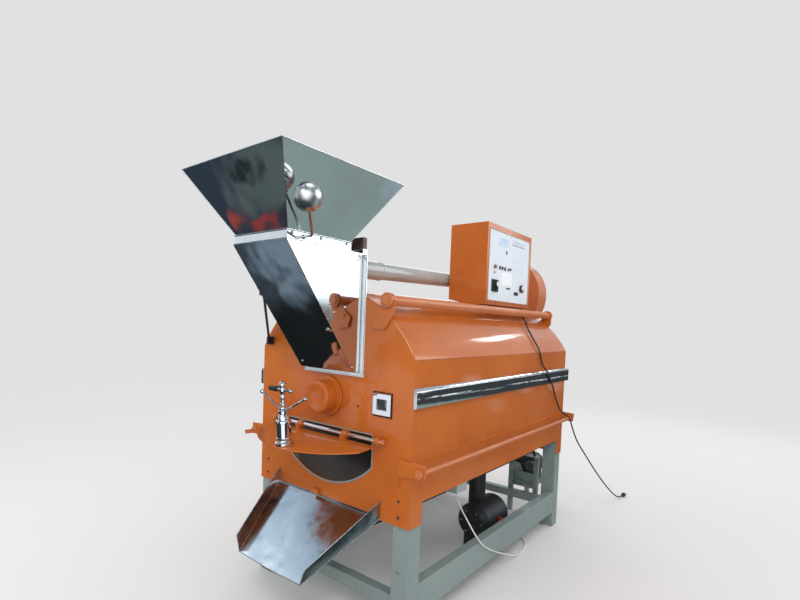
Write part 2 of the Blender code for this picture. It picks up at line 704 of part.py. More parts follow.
def centred(centre, size):
    """A rectangle given by its centre and size."""
    across = (centre[0] - size[0] / 2, centre[0] + size[0] / 2)
    return rectangle(across, (centre[1] - size[1] / 2, centre[1] + size[1] / 2))


def grown(span, amount):
    return span[0] - amount, span[1] + amount


def inset(loop, wall):
    """A counter-clockwise outline drawn in by a wall."""
    result = []
    for index, corner in enumerate(loop):
        corner = Vector(corner)
        before = (corner - Vector(loop[index - 1])).normalized()
        after = (Vector(loop[(index + 1) % len(loop)]) - corner).normalized()
        inward = Vector((-before.y, before.x)), Vector((-after.y, after.x))
        result.append(tuple(corner + wall * (inward[0] + inward[1]) / (1 + inward[0].dot(inward[1]))))
    return result


def sided(side, low, high):
    """A span on the right side, or its mirror image on the left."""
    return (low, high) if side > 0 else (-high, -low)


def hood_angle(x_place, radius):
    """The angle at which an arc of the hood reaches this X."""
    return acos(x_place / radius)


def hood_arc(radius, start, end):
    """Points of a hood arc, both ends included, on the facets that all rolled sheets share."""
    step = pi / HOOD_STEPS
    low, high = min(start, end), max(start, end)
    between = [number * step for number in range(ceil(low / step), floor(high / step) + 1)]
    turns = [low] + [turn for turn in between if low < turn < high] + [high]
    if start > end:
        turns.reverse()
    points = []
    for turn in turns:
        middle = (floor(turn / step) + 0.5) * step
        reach = radius * cos(step / 2) / cos(turn - middle)
        points.append((reach * cos(turn), HOOD_CENTRE_Z + reach * sin(turn)))
    return points


BOTH_SIDES = (("right", 1), ("left", -1))


def make_stand():
    """Four legs and the rails between them, all of rectangular tube."""
    fronts = (FRONT_IN, FRONT_IN + LEG_DEPTH)
    rears = (REAR_IN - LEG_DEPTH, REAR_IN)
    leg_in = LEG_OUT - LEG_WIDTH
    for label, side in BOTH_SIDES:
        across = sided(side, leg_in, LEG_OUT)
        for end, depth in (("front", fronts), ("rear", rears)):
            loops = [rectangle(across, depth), rectangle(grown(across, -LEG_WALL), grown(depth, -LEG_WALL))]
            piece(f"leg_{end}_{label}", slab(loops, (0, LEG_TOP), "Z"), GREY)
        width = sided(side, LEG_OUT - SIDE_RAIL_WIDTH, LEG_OUT)
        loops = [rectangle(width, SIDE_RAIL_Z), rectangle(grown(width, -RAIL_WALL), grown(SIDE_RAIL_Z, -RAIL_WALL))]
        piece(f"rail_{label}", slab(loops, (fronts[1] + GAP, rears[0] - GAP), "Y"), GREY)
    reach = leg_in - GAP
    for end, height, depth in (("front", FRONT_RAIL_Z, (FRONT_IN, FRONT_IN + CROSS_RAIL_DEPTH)),
                               ("rear", REAR_RAIL_Z, (REAR_IN - CROSS_RAIL_DEPTH, REAR_IN))):
        loops = [rectangle(depth, height), rectangle(grown(depth, -RAIL_WALL), grown(height, -RAIL_WALL))]
        piece(f"rail_{end}", slab(loops, (-reach, reach), "X"), GREY)


def make_motor_stand():
    """Four posts on the floor with a shelf for the gear motor and an apron, welded together."""
    front = REAR_IN + GAP
    back = front + STAND_DEPTH
    width = (POST_X[0], POST_X[1] + POST)
    shelf = box((width[0], front + BURY, SHELF_Z - SHELF_T), (width[1], back - BURY, SHELF_Z))
    stand = piece("motor_stand", shelf, GREY)
    for column, x_place in enumerate(POST_X):
        for row, y_place in enumerate((front, back - POST)):
            height = POST_HEIGHT if row == 0 else SHELF_Z - BURY
            post = box((x_place - BURY, y_place, 0), (x_place + POST + BURY, y_place + POST, height))
            weld(stand, f"post_{column}_{row}", post)
    apron = box((width[0] + BURY, front + POST - APRON_T - BURY, APRON_Z[0]),
                (width[1] - BURY, front + POST - BURY, APRON_Z[1]))
    weld(stand, "apron", apron)


def plate_outline():
    shoulder = asin((SHOULDER_Z - HOOD_CENTRE_Z) / HOOD_R)
    return [(-BODY_HALF, BODY_BASE), (BODY_HALF, BODY_BASE)] + hood_arc(HOOD_R, shoulder, pi - shoulder)


def discharge_outline(more=0):
    """The discharge opening, or the same grown on all sides: a circle about the drum's axis, cut off."""
    half, radius = OPEN_HALF + more, OPEN_R + more
    corner = asin(half / radius)
    low = arc((0, DRUM_Z), radius, -pi / 2 - corner, -pi / 2 + corner)
    return [(half, OPEN_TOP + more), (-half, OPEN_TOP + more)] + low


def add_ears(plate, span):
    """Ears for the tie rods on both shoulders and both lower corners of an end plate."""
    for label, side in BOTH_SIDES:
        for level, at, reach, shares in (("upper", UPPER_ROD, UPPER_EAR_REACH, UPPER_EAR_SHARES),
                                         ("lower", LOWER_ROD, LOWER_EAR_REACH, LOWER_EAR_SHARES)):
            outline = [(side * (at[0] + reach * across), at[1] + reach * up) for across, up in shares]
            weld(plate, f"{level}_ear_{label}", slab([outline], span))
        low, high = grown(span, -BOSS_SINK)
        boss = rod((side * UPPER_ROD[0], low, UPPER_ROD[1]), (side * UPPER_ROD[0], high, UPPER_ROD[1]),
                   UPPER_BOSS_R)
        weld(plate, f"upper_boss_{label}", boss)
        past = grown(span, OVERRUN)
        for level, at, radius in (("upper", UPPER_ROD, UPPER_ROD_R), ("lower", LOWER_ROD, LOWER_ROD_R)):
            hole = rod((side * at[0], past[0], at[1]), (side * at[0], past[1], at[1]), radius + GAP)
            cut(plate, f"{level}_rod_hole_{label}", hole)


def make_front_plate():
    """Front plate with its openings, the discharge rim, tie rod ears, hinge lugs and the tab."""
    window = centred((WINDOW_X, WINDOW_Z), WINDOW_HOLE)
    loops = [plate_outline(), rectangle(FEED_HOLE_X, FEED_HOLE_Z), discharge_outline(RIM_WIDTH / 2),
             circle((0, DRUM_Z), SHAFT_HOLE_R), window]
    plate = piece("front_plate", slab(loops, (0, PLATE_T)), ORANGE)
    rim = slab([discharge_outline(RIM_WIDTH), discharge_outline()], (-RIM_PROUD, PLATE_T + RIM_PROUD))
    weld(plate, "discharge_rim", rim)
    add_ears(plate, (-EAR_T, BURY))
    for label, side in BOTH_SIDES:
        across = sided(side, LUG_X - LUG_WIDTH / 2, LUG_X + LUG_WIDTH / 2)
        web = box((across[0] + BURY, HINGE_Y, HINGE_Z - LUG_WEB), (across[1] - BURY, BURY, HINGE_Z + LUG_WEB))
        weld(plate, f"lug_web_{label}", web)
        weld(plate, f"lug_{label}", rod((across[0], HINGE_Y, HINGE_Z), (across[1], HINGE_Y, HINGE_Z), LUG_R))
        past = grown(across, OVERRUN)
        hole = rod((past[0], HINGE_Y, HINGE_Z), (past[1], HINGE_Y, HINGE_Z), HINGE_ROD_R + GAP)
        cut(plate, f"lug_hole_{label}", hole)
    weld(plate, "tab", box((TAB_X[0], -TAB_OUT, TAB_Z[0]), (TAB_X[1], BURY, TAB_Z[1])))


def make_rear_plate():
    """Rear plate with the shaft's hole, tie rod ears and the shelf that carries the fan."""
    loops = [plate_outline(), circle((0, DRUM_Z), SHAFT_HOLE_R)]
    plate = piece("rear_plate", slab(loops, (BODY_LENGTH - PLATE_T, BODY_LENGTH)), ORANGE)
    add_ears(plate, (BODY_LENGTH - BURY, BODY_LENGTH + EAR_T))
    shelf_top = FAN_Z - SCROLL_END_R - GAP
    shelf_back = BODY_LENGTH + FAN_SHELF_DEPTH
    shelf = box((FAN_SHELF_X[0], BODY_LENGTH - FAN_SHELF_BURY, shelf_top - FAN_SHELF_T),
                (FAN_SHELF_X[1], shelf_back, shelf_top))
    weld(plate, "fan_shelf", shelf)
    low = shelf_top - FAN_SHELF_T + GUSSET_LAP
    front = BODY_LENGTH - GUSSET_BURY
    outline = [(front, low), (front, low - GUSSET_DROP), (BODY_LENGTH, low - GUSSET_DROP),
               (shelf_back - OVERRUN, low)]
    for index, edge in enumerate(FAN_SHELF_X):
        start = edge + OVERRUN if index == 0 else edge - OVERRUN - FAN_SHELF_T
        weld(plate, f"gusset_{index}", slab([outline], (start, start + FAN_SHELF_T), "X"))


def make_casing():
    """Side panels with corners that reach down over the legs, and the trim strips on them."""
    corner = CORNER_DEPTH + FRONT_IN
    rear_corner = REAR_IN - CORNER_DEPTH
    top = SHOULDER_Z - GAP
    outline = [(FRONT_IN, BODY_BASE), (corner, BODY_BASE), (corner, SKIRT_Z), (rear_corner, SKIRT_Z),
               (rear_corner, BODY_BASE), (REAR_IN, BODY_BASE), (REAR_IN, top), (FRONT_IN, top)]
    for label, side in BOTH_SIDES:
        panel = slab([outline], sided(side, BODY_HALF - SHEET_T, BODY_HALF), "X")
        piece(f"casing_{label}", panel, ORANGE)
        across = sided(side, BODY_HALF + GAP, BODY_HALF + GAP + TRIM_T)
        strip = box((across[0], -TRIM_FRONT, TRIM_Z[0]), (across[1], BODY_LENGTH + TRIM_REAR, TRIM_Z[1]))
        piece(f"trim_{label}", strip, CHROME)


def hood_sector(radius, thick, start, end):
    """The outline of a rolled sheet between two angles."""
    return hood_arc(radius, start, end) + hood_arc(radius - thick, end, start)


def make_hood():
    """Rolled side panels and the top cover that laps over them, with the control box's feet."""
    low = asin((SHOULDER_Z + GAP - HOOD_CENTRE_Z) / (HOOD_R - SHEET_T))
    high = hood_angle(HOOD_SEAM_X - HOOD_LAP, HOOD_R)
    for label, start, end in (("right", low, high), ("left", pi - high, pi - low)):
        sheet = slab([hood_sector(HOOD_R, SHEET_T, start, end)], (FRONT_IN, REAR_IN))
        piece(f"hood_{label}", sheet, ORANGE)
    edge = hood_angle(HOOD_SEAM_X, COVER_R)
    margin = BURY + GAP
    rolled = slab([hood_sector(COVER_R, COVER_T, edge, pi - edge)], (margin, BODY_LENGTH - margin))
    cover = piece("hood_cover", rolled, ORANGE)
    hole_x = grown(RISER_X, -RISER_HOLE_MARGIN)
    hole_y = grown(RISER_Y, -RISER_HOLE_MARGIN)
    cut(cover, "vent_hole", box((hole_x[0], hole_y[0], HOOD_CENTRE_Z), (hole_x[1], hole_y[1], RISER_TOP)))
    starts = (BOX_Y[0] + FOOT_INSET, BOX_Y[1] - FOOT_INSET - FOOT_WIDTH)
    angles = [hood_angle(x_place, COVER_R - BURY / 2) for x_place in reversed(FOOT_X)]
    base = hood_arc(COVER_R - BURY / 2, angles[0], angles[1])
    outline = [(FOOT_X[0], BOX_Z[0] - GAP), (FOOT_X[1], BOX_Z[0] - GAP)] + base
    for index, start in enumerate(starts):
        weld(cover, f"box_foot_{index}", slab([outline], (start, start + FOOT_WIDTH)))


def make_tie_rods():
    """Rods through the ears, each with a nut on both ends."""
    inner = -EAR_T - GAP
    for label, side in BOTH_SIDES:
        for level, at, radius, nut in (("upper", UPPER_ROD, UPPER_ROD_R, UPPER_BOSS_R),
                                       ("lower", LOWER_ROD, LOWER_ROD_R, LOWER_NUT_R)):
            length = BODY_LENGTH - 2 * inner
            stub_r = radius - BURY
            profile = [(0, length + NUT_T + ROD_STUB), (stub_r, length + NUT_T + ROD_STUB), (stub_r, length + NUT_T),
                       (nut, length + NUT_T), (nut, length), (radius, length), (radius, 0), (nut, 0),
                       (nut, -NUT_T), (stub_r, -NUT_T), (stub_r, -NUT_T - ROD_STUB), (0, -NUT_T - ROD_STUB)]
            shape = turned(profile, (side * at[0], inner, at[1]), (0, 1, 0), SMALL_SIDES)
            piece(f"tie_rod_{level}_{label}", shape, ORANGE)


def make_fire_box():
    """Open trough between the end plates, with the burner's hole and a junction box on its right side."""
    half, inner = FIRE_BOX_HALF, FIRE_BOX_HALF - SHEET_T
    base, floor, top = FIRE_BOX_Z[0], FIRE_BOX_Z[0] + SHEET_T, FIRE_BOX_Z[1]
    outline = [(-half, base), (half, base), (half, top), (inner, top), (inner, floor), (-inner, floor),
               (-inner, top), (-half, top)]
    trough = piece("fire_box", slab([outline], (FRONT_IN, REAR_IN)), DARK)
    weld(trough, "junction_box", box((half - BURY, JUNCTION_Y[0], JUNCTION_Z[0]),
                                     (half + JUNCTION_OUT, JUNCTION_Y[1], JUNCTION_Z[1])))
    neck = (BURNER_NECK_X, BURNER_NECK_Y)
    hole = rod((*neck, base - OVERRUN), (*neck, floor + OVERRUN), BURNER_HOLE_R)
    cut(trough, "burner_hole", hole)


def make_drum():
    """Drum with its rear plate and mixing vanes, and the shaft with spider arms that carries it."""
    axis_start = (0, 0, DRUM_Z)
    centre = (0, DRUM_FRONT, DRUM_Z)
    inner, bore, inside = DRUM_R - DRUM_WALL, SHAFT_R + GAP, DRUM_BACK - DRUM_PLATE_T
    profile = [(DRUM_R, DRUM_BACK), (DRUM_R, DRUM_FRONT), (inner, DRUM_FRONT), (inner, inside), (bore, inside),
               (bore, DRUM_BACK)]
    drum = piece("drum", turned(profile, axis_start, (0, 1, 0), DRUM_SIDES, closed=True), BARE, centre)
    for index in range(VANES):
        vane = box((-VANE_T / 2, VANE_FRONT, inner - VANE_HEIGHT), (VANE_T / 2, inside + BURY, inner + BURY / 2))
        turn = tau * (index + 0.5) / VANES
        vane.transform(Matrix.Translation(Vector(axis_start)) @ Matrix.Rotation(turn, 4, "Y"))
        weld(drum, f"vane_{index}", vane)
    front_end = -BOSS_BORE_DEPTH + GAP
    shaft = piece("drum_shaft", rod((0, front_end, DRUM_Z), (0, SHAFT_BACK, DRUM_Z), SHAFT_R), BARE, centre)
    reach = sqrt((inner * cos(pi / DRUM_SIDES) - GAP) ** 2 - SPIDER_R ** 2)
    for index in range(SPIDER_ARMS):
        turn = tau * index / SPIDER_ARMS
        end = (reach * sin(turn), SPIDER_Y, DRUM_Z + reach * cos(turn))
        weld(shaft, f"arm_{index}", rod((0, SPIDER_Y, DRUM_Z), end, SPIDER_R, SMALL_SIDES))


def make_bearings():
    bore = SHAFT_R + GAP
    profile = [(0, -BOSS_BORE_DEPTH), (bore, -BOSS_BORE_DEPTH), (bore, -GAP), (BOSS_FLANGE_R, -GAP),
               (BOSS_FLANGE_R, -BOSS_FLANGE_T), (BOSS_R, -BOSS_FLANGE_T), (BOSS_R, -BOSS_LENGTH), (0, -BOSS_LENGTH)]
    piece("bearing_front", turned(profile, (0, 0, DRUM_Z), (0, 1, 0), DRUM_SIDES), ORANGE)
    back = BODY_LENGTH + REAR_BEARING_LENGTH
    step = BODY_LENGTH + BOSS_FLANGE_T
    profile = [(bore, back), (REAR_BEARING_R, back), (REAR_BEARING_R, step), (BOSS_FLANGE_R, step),
               (BOSS_FLANGE_R, BODY_LENGTH + GAP), (bore, BODY_LENGTH + GAP)]
    piece("bearing_rear", turned(profile, (0, 0, DRUM_Z), (0, 1, 0), closed=True), GREY)


def tip_radius(teeth):
    """Outer radius of a chain sprocket with this many teeth."""
    return CHAIN_PITCH / (2 * sin(pi / teeth)) + TOOTH_HEIGHT / 2


def sprocket_outline(teeth):
    """Points of a toothed wheel: top and root of each tooth, by the chain's pitch."""
    tip = tip_radius(teeth)
    root = tip - TOOTH_HEIGHT
    points = []
    for tooth in range(teeth):
        for radius, share in ((root, -TOOTH_TOP_SHARE), (tip, -TOOTH_ROOT_SHARE / 2), (tip, TOOTH_ROOT_SHARE / 2),
                              (root, TOOTH_TOP_SHARE)):
            turn = tau * (tooth + share) / teeth
            points.append((radius * cos(turn), radius * sin(turn)))
    return points


def chain_loop(more):
    """The chain's outline round both sprockets, this far outside their teeth."""
    big, small = tip_radius(DRUM_TEETH) + more, tip_radius(MOTOR_TEETH) + more
    away = Vector((MOTOR_SHAFT[0], MOTOR_SHAFT[1] - DRUM_Z))
    heading = atan2(away.y, away.x)
    spread = acos((big - small) / away.length)
    return (arc((0, DRUM_Z), big, heading + spread, heading + tau - spread, DRUM_SIDES)
            + arc(MOTOR_SHAFT, small, heading - spread, heading + spread))


def make_chain_drive():
    span = (SPROCKET_Y, SPROCKET_Y + SPROCKET_T)
    for name, teeth, bore, at in (("drum_sprocket", DRUM_TEETH, SHAFT_R, (0, DRUM_Z)),
                                  ("motor_sprocket", MOTOR_TEETH, MOTOR_SHAFT_R, MOTOR_SHAFT)):
        wheel = slab([sprocket_outline(teeth), circle((0, 0), bore + GAP)], span)
        wheel.transform(Matrix.Translation((at[0], 0, at[1])))
        piece(name, wheel, BARE, (at[0], SPROCKET_Y, at[1]))
    chain = slab([chain_loop(GAP + CHAIN_T), chain_loop(GAP)], grown(span, CHAIN_OVER))
    piece("drive_chain", chain, BARE)


def make_gear_motor():
    """Gearbox block with its output shaft and terminal box, and the motor behind it."""
    block = box((GEARBOX_X[0], GEARBOX_Y[0], SHELF_Z + GAP), (GEARBOX_X[1], GEARBOX_Y[1], GEARBOX_TOP))
    motor = piece("gear_motor", block, DARK)
    centre_z = (SHELF_Z + GEARBOX_TOP) / 2
    weld(motor, "body", rod((MOTOR_X, GEARBOX_Y[1] - BURY, centre_z), (MOTOR_X, MOTOR_BACK, centre_z), MOTOR_R))
    weld(motor, "shaft", rod((MOTOR_SHAFT[0], SPROCKET_Y - BURY, MOTOR_SHAFT[1]),
                             (MOTOR_SHAFT[0], GEARBOX_Y[0] + BURY, MOTOR_SHAFT[1]), MOTOR_SHAFT_R))
    weld(motor, "terminal_box", box((TERMINAL_X[0], GEARBOX_Y[0] - TERMINAL_DEPTH, TERMINAL_Z[0]),
                                    (TERMINAL_X[1], GEARBOX_Y[0] + BURY, TERMINAL_Z[1])))


def make_hopper():
    """Open inverted pyramid of sheet, four-sided and tapered down to the collar."""
    foot = CHUTE_TOP + COLLAR_HEIGHT + 2 * GAP
    shape = bmesh.new()
    matrix = Matrix.Translation((FEED_X, HOPPER_Y, foot + HOPPER_HEIGHT / 2)) @ Matrix.Rotation(pi / 4, 4, "Z")
    bmesh.ops.create_cone(shape, cap_ends=False, segments=4, radius1=HOPPER_FOOT_HALF * sqrt(2),
                          radius2=HOPPER_RIM_HALF * sqrt(2), depth=HOPPER_HEIGHT, matrix=matrix)
    hopper = piece("hopper", held_mesh(shape, "hopper"), STEEL)
    sheet = hopper.modifiers.new("sheet", "SOLIDIFY")
    sheet.thickness = HOPPER_T
    sheet.offset = 1
    sheet.use_even_offset = True


def collar_across():
    return FEED_X - COLLAR_HALF, FEED_X + COLLAR_HALF


def make_collar():
    """Square collar between chute and hopper, with the flap's shaft holes."""
    across = collar_across()
    loops = [rectangle(across, COLLAR_Y), rectangle(grown(across, -COLLAR_T), grown(COLLAR_Y, -COLLAR_T))]
    low = CHUTE_TOP + GAP
    collar = piece("hopper_collar", slab(loops, (low, low + COLLAR_HEIGHT), "Z"), STEEL)
    past = grown(across, OVERRUN)
    hole = rod((past[0], FLAP_PIVOT_Y, FLAP_PIVOT_Z), (past[1], FLAP_PIVOT_Y, FLAP_PIVOT_Z), FLAP_SHAFT_R + GAP)
    cut(collar, "shaft_hole", hole)


def make_flap():
    """Feed flap under its shaft, and the shaft that ends in the ball lever."""
    pivot = (FEED_X, FLAP_PIVOT_Y, FLAP_PIVOT_Z)
    across = grown(collar_across(), -COLLAR_T - FLAP_MARGIN)
    depth = grown(COLLAR_Y, -COLLAR_T - FLAP_MARGIN)
    top = FLAP_PIVOT_Z - FLAP_SHAFT_R - GAP
    piece("feed_flap", box((across[0], depth[0], top - FLAP_T), (across[1], depth[1], top)), STEEL, pivot)
    start = (FEED_X - COLLAR_HALF - FLAP_SHAFT_STUB, FLAP_PIVOT_Y, FLAP_PIVOT_Z)
    bend = (LEVER_BEND_X, FLAP_PIVOT_Y, FLAP_PIVOT_Z)
    lever = piece("flap_lever", tube([start, bend, LEVER_BALL], FLAP_SHAFT_R), CHROME, pivot)
    weld(lever, "ball", ball(LEVER_BALL, LEVER_BALL_R, SIDES))


def make_chute():
    """Slanted feed chute: closed front and sides, open to the collar above and to the plate behind."""
    back = -GAP
    wedge = [(CHUTE_FRONT, CHUTE_TOP), (-CHUTE_FOOT_DEPTH, CHUTE_FOOT), (back, CHUTE_FOOT), (back, CHUTE_TOP)]
    across = (FEED_X - CHUTE_HALF, FEED_X + CHUTE_HALF)
    inner_x = grown(across, -CHUTE_T)
    chute = piece("feed_chute", slab([wedge], across, "X"), STEEL)
    cut(chute, "inside", slab([inset(wedge, CHUTE_T)], inner_x, "X"))
    mouth = box((inner_x[0], back - CHUTE_T - BURY, CHUTE_FOOT + CHUTE_T), (inner_x[1], OVERRUN, CHUTE_MOUTH_TOP))
    cut(chute, "mouth", mouth)
    top_x = grown(collar_across(), -COLLAR_T)
    top_y = grown(COLLAR_Y, -COLLAR_T)
    low = CHUTE_TOP - CHUTE_T - GAP
    cut(chute, "top", box((top_x[0], top_y[0], low), (top_x[1], top_y[1], CHUTE_TOP + OVERRUN)))


def make_stay():
    """Flat bar from the chute's left side to the front plate, with a pad at each end."""
    side_x = FEED_X - CHUTE_HALF - GAP
    half = STAY_PAD / 2
    pad = box((side_x - STAY_PAD_T, STAY_TOP[0] - half, STAY_TOP[1] - half),
              (side_x, STAY_TOP[0] + half, STAY_TOP[1] + half))
    stay = piece("chute_stay", pad, DARK)
    foot = box((STAY_FOOT[0] - half, -GAP - STAY_PAD_T, STAY_FOOT[1] - half),
               (STAY_FOOT[0] + half, -GAP, STAY_FOOT[1] + half))
    weld(stay, "foot", foot)
    start = (side_x - STAY_PAD_T + BURY, STAY_TOP[0], STAY_TOP[1])
    end = (STAY_FOOT[0], -GAP - STAY_PAD_T + BURY, STAY_FOOT[1])
    weld(stay, "bar", bar(start, end, STAY_WIDTH, STAY_T))


def pipe_line():
    """Start and end of the exhaust pipe's axis, which rises to the fan."""
    start = Vector((FAN_X, RISER_Y[1] - RISER_T - PIPE_END_IN, PIPE_START_Z))
    end = Vector((FAN_X, FAN_Y[0] + FAN_T + PIPE_END_IN, FAN_Z))
    return start, end


def on_pipe(y_place):
    start, end = pipe_line()
    return start.lerp(end, (y_place - start.y) / (end.y - start.y))


def pipe_bore():
    start, end = pipe_line()
    run = (end - start).normalized() * OVERRUN
    return rod(start, start + run, PIPE_R + PIPE_FIT), rod(end - run, end, PIPE_R + PIPE_FIT)


def make_exhaust():
    """Vent riser with its cap on the hood, and the pipe with its sleeve."""
    seat_r = COVER_R + GAP
    angles = [hood_angle(x_place, seat_r) for x_place in RISER_X]
    outline = [(RISER_X[1], RISER_TOP), (RISER_X[0], RISER_TOP)] + hood_arc(seat_r, *angles)
    riser = piece("riser", slab([outline], RISER_Y), STEEL)
    inner_x, inner_y = grown(RISER_X, -RISER_T), grown(RISER_Y, -RISER_T)
    cut(riser, "inside", box((inner_x[0], inner_y[0], HOOD_CENTRE_Z), (inner_x[1], inner_y[1], RISER_TOP - RISER_T)))
    cut(riser, "pipe_hole", pipe_bore()[0])
    cap_x, cap_y = grown(RISER_X, -RISER_CAP_INSET), grown(RISER_Y, -RISER_CAP_INSET)
    weld(riser, "cap", box((cap_x[0], cap_y[0], RISER_TOP - BURY / 2),
                           (cap_x[1], cap_y[1], RISER_TOP + RISER_CAP_HEIGHT)))
    start, end = pipe_line()
    run = (end - start).normalized() * OVERRUN
    pipe = piece("exhaust_pipe", rod(start, end, PIPE_R), PALE_GREY)
    weld(pipe, "sleeve", rod(on_pipe(SLEEVE_Y[0]), on_pipe(SLEEVE_Y[1]), SLEEVE_R))
    cut(pipe, "bore", rod(start - run, end + run, PIPE_R - PIPE_T))


def scroll_outline():
    """The fan's scroll, counter-clockwise from its outlet: the radius grows with the square of the turn."""
    points = []
    for step in range(SCROLL_STEPS + 1):
        share = 1 - step / SCROLL_STEPS
        radius = SCROLL_START_R + (SCROLL_END_R - SCROLL_START_R) * share ** 2
        turn = pi - 1.5 * pi * share
        points.append((FAN_X + radius * cos(turn), FAN_Z + radius * sin(turn)))
    low = FAN_Z - SCROLL_END_R
    lip = FAN_X - OUTLET_REACH
    throat = FAN_X - SCROLL_START_R
    return points + [(throat, low + OUTLET_HEIGHT), (lip, low + OUTLET_HEIGHT), (lip, low)]


def make_fan():
    """Fan housing, its impeller and the motor behind it."""
    outline = scroll_outline()
    housing = piece("fan_housing", slab([outline], FAN_Y), ORANGE)
    inside_y = grown(FAN_Y, -FAN_T)
    cut(housing, "inside", slab([inset(outline, FAN_T)], inside_y))
    low = FAN_Z - SCROLL_END_R
    lip = FAN_X - OUTLET_REACH
    outlet = box((lip - OVERRUN, inside_y[0], low + FAN_T), (lip + OVERRUN, inside_y[1], low + OUTLET_HEIGHT - FAN_T))
    cut(housing, "outlet", outlet)
    cut(housing, "inlet", pipe_bore()[1])
    cut(housing, "shaft_hole", rod((FAN_X, inside_y[1] - OVERRUN, FAN_Z), (FAN_X, FAN_Y[1] + OVERRUN, FAN_Z),
                                   FAN_SHAFT_HOLE_R))
    hub_bore = FAN_SHAFT_R + GAP
    disc = IMPELLER_Y[1] - BLADE_T
    profile = [(hub_bore, IMPELLER_Y[1]), (IMPELLER_R, IMPELLER_Y[1]), (IMPELLER_R, disc), (IMPELLER_HUB_R, disc),
               (IMPELLER_HUB_R, IMPELLER_HUB_Y), (hub_bore, IMPELLER_HUB_Y)]
    wheel = turned(profile, (FAN_X, 0, FAN_Z), (0, 1, 0), closed=True)
    impeller = piece("fan_impeller", wheel, BARE, (FAN_X, IMPELLER_Y[1], FAN_Z))
    for index in range(BLADES):
        blade = box((-BLADE_T / 2, IMPELLER_Y[0], IMPELLER_EYE_R),
                    (BLADE_T / 2, disc + BLADE_T / 2, IMPELLER_R - BURY))
        blade.transform(Matrix.Translation((FAN_X, 0, FAN_Z)) @ Matrix.Rotation(tau * index / BLADES, 4, "Y"))
        weld(impeller, f"blade_{index}", blade)
    front = FAN_Y[1] + GAP
    profile = [(0, FAN_COWL_BACK), (FAN_COWL_R, FAN_COWL_BACK), (FAN_COWL_R, FAN_MOTOR_BACK),
               (FAN_MOTOR_R, FAN_MOTOR_BACK), (FAN_MOTOR_R, front), (FAN_SHAFT_R, front),
               (FAN_SHAFT_R, IMPELLER_HUB_Y), (0, IMPELLER_HUB_Y)]
    piece("fan_motor", turned(profile, (FAN_X, 0, FAN_Z), (0, 1, 0)), DARK)


def door_face():
    """Y of the shut door's outer face."""
    return -RIM_PROUD - DOOR_SEAT - DOOR_T


def make_door():
    """Discharge door, drawn shut and swung up on its hinge, with its knuckles, clamp pad and handle lug."""
    face = door_face()
    back = face + DOOR_T
    corner = asin(DOOR_HALF / DOOR_R)
    top = HINGE_Z - DOOR_DROP
    low = arc((0, DRUM_Z), DOOR_R, -pi / 2 - corner, -pi / 2 + corner)
    hinge = (0, HINGE_Y, HINGE_Z)
    leaf = slab([[(DOOR_HALF, top), (-DOOR_HALF, top)] + low], (face, back))
    door = piece("discharge_door", leaf, ORANGE, hinge, DOOR_CARRIER)
    pad_z = HINGE_Z - CLAMP_DROP
    weld(door, "clamp_pad", rod((0, face - BURY / 2, pad_z), (0, back - BURY / 2, pad_z), CLAMP_PAD_R), DOOR_CARRIER)
    middle = face + BURY - HANDLE_T / 2
    ends = []
    for turn, radius in zip(HANDLE_TURNS, (DOOR_R - HANDLE_IN, DOOR_R + HANDLE_OUT)):
        ends.append((-radius * cos(turn), middle, DRUM_Z - radius * sin(turn)))
    weld(door, "handle", bar(*ends, HANDLE_WIDTH, HANDLE_T), DOOR_CARRIER)
    for label, side in BOTH_SIDES:
        across = sided(side, KNUCKLE_X - KNUCKLE_WIDTH / 2, KNUCKLE_X + KNUCKLE_WIDTH / 2)
        web = box((across[0] + BURY, HINGE_Y, HINGE_Z - LUG_R - LUG_WEB),
                  (across[1] - BURY, back - BURY / 2, HINGE_Z - LUG_R / 2))
        weld(door, f"web_{label}", web, DOOR_CARRIER)
        ring = rod((across[0], HINGE_Y, HINGE_Z), (across[1], HINGE_Y, HINGE_Z), LUG_R)
        weld(door, f"knuckle_{label}", ring, DOOR_CARRIER)
        past = grown(across, OVERRUN)
        hole = rod((past[0], HINGE_Y, HINGE_Z), (past[1], HINGE_Y, HINGE_Z), HINGE_ROD_R + GAP)
        cut(door, f"hole_{label}", hole, DOOR_CARRIER)
    bolt = rod((-HINGE_ROD_HALF, HINGE_Y, HINGE_Z), (HINGE_ROD_HALF, HINGE_Y, HINGE_Z), HINGE_ROD_R)
    hinge_rod = piece("hinge_rod", bolt, CHROME)
    ball_x = LUG_X + LUG_WIDTH / 2 + GAP + HINGE_BALL_R
    for label, side in BOTH_SIDES:
        weld(hinge_rod, f"ball_{label}", ball((side * ball_x, HINGE_Y, HINGE_Z), HINGE_BALL_R))


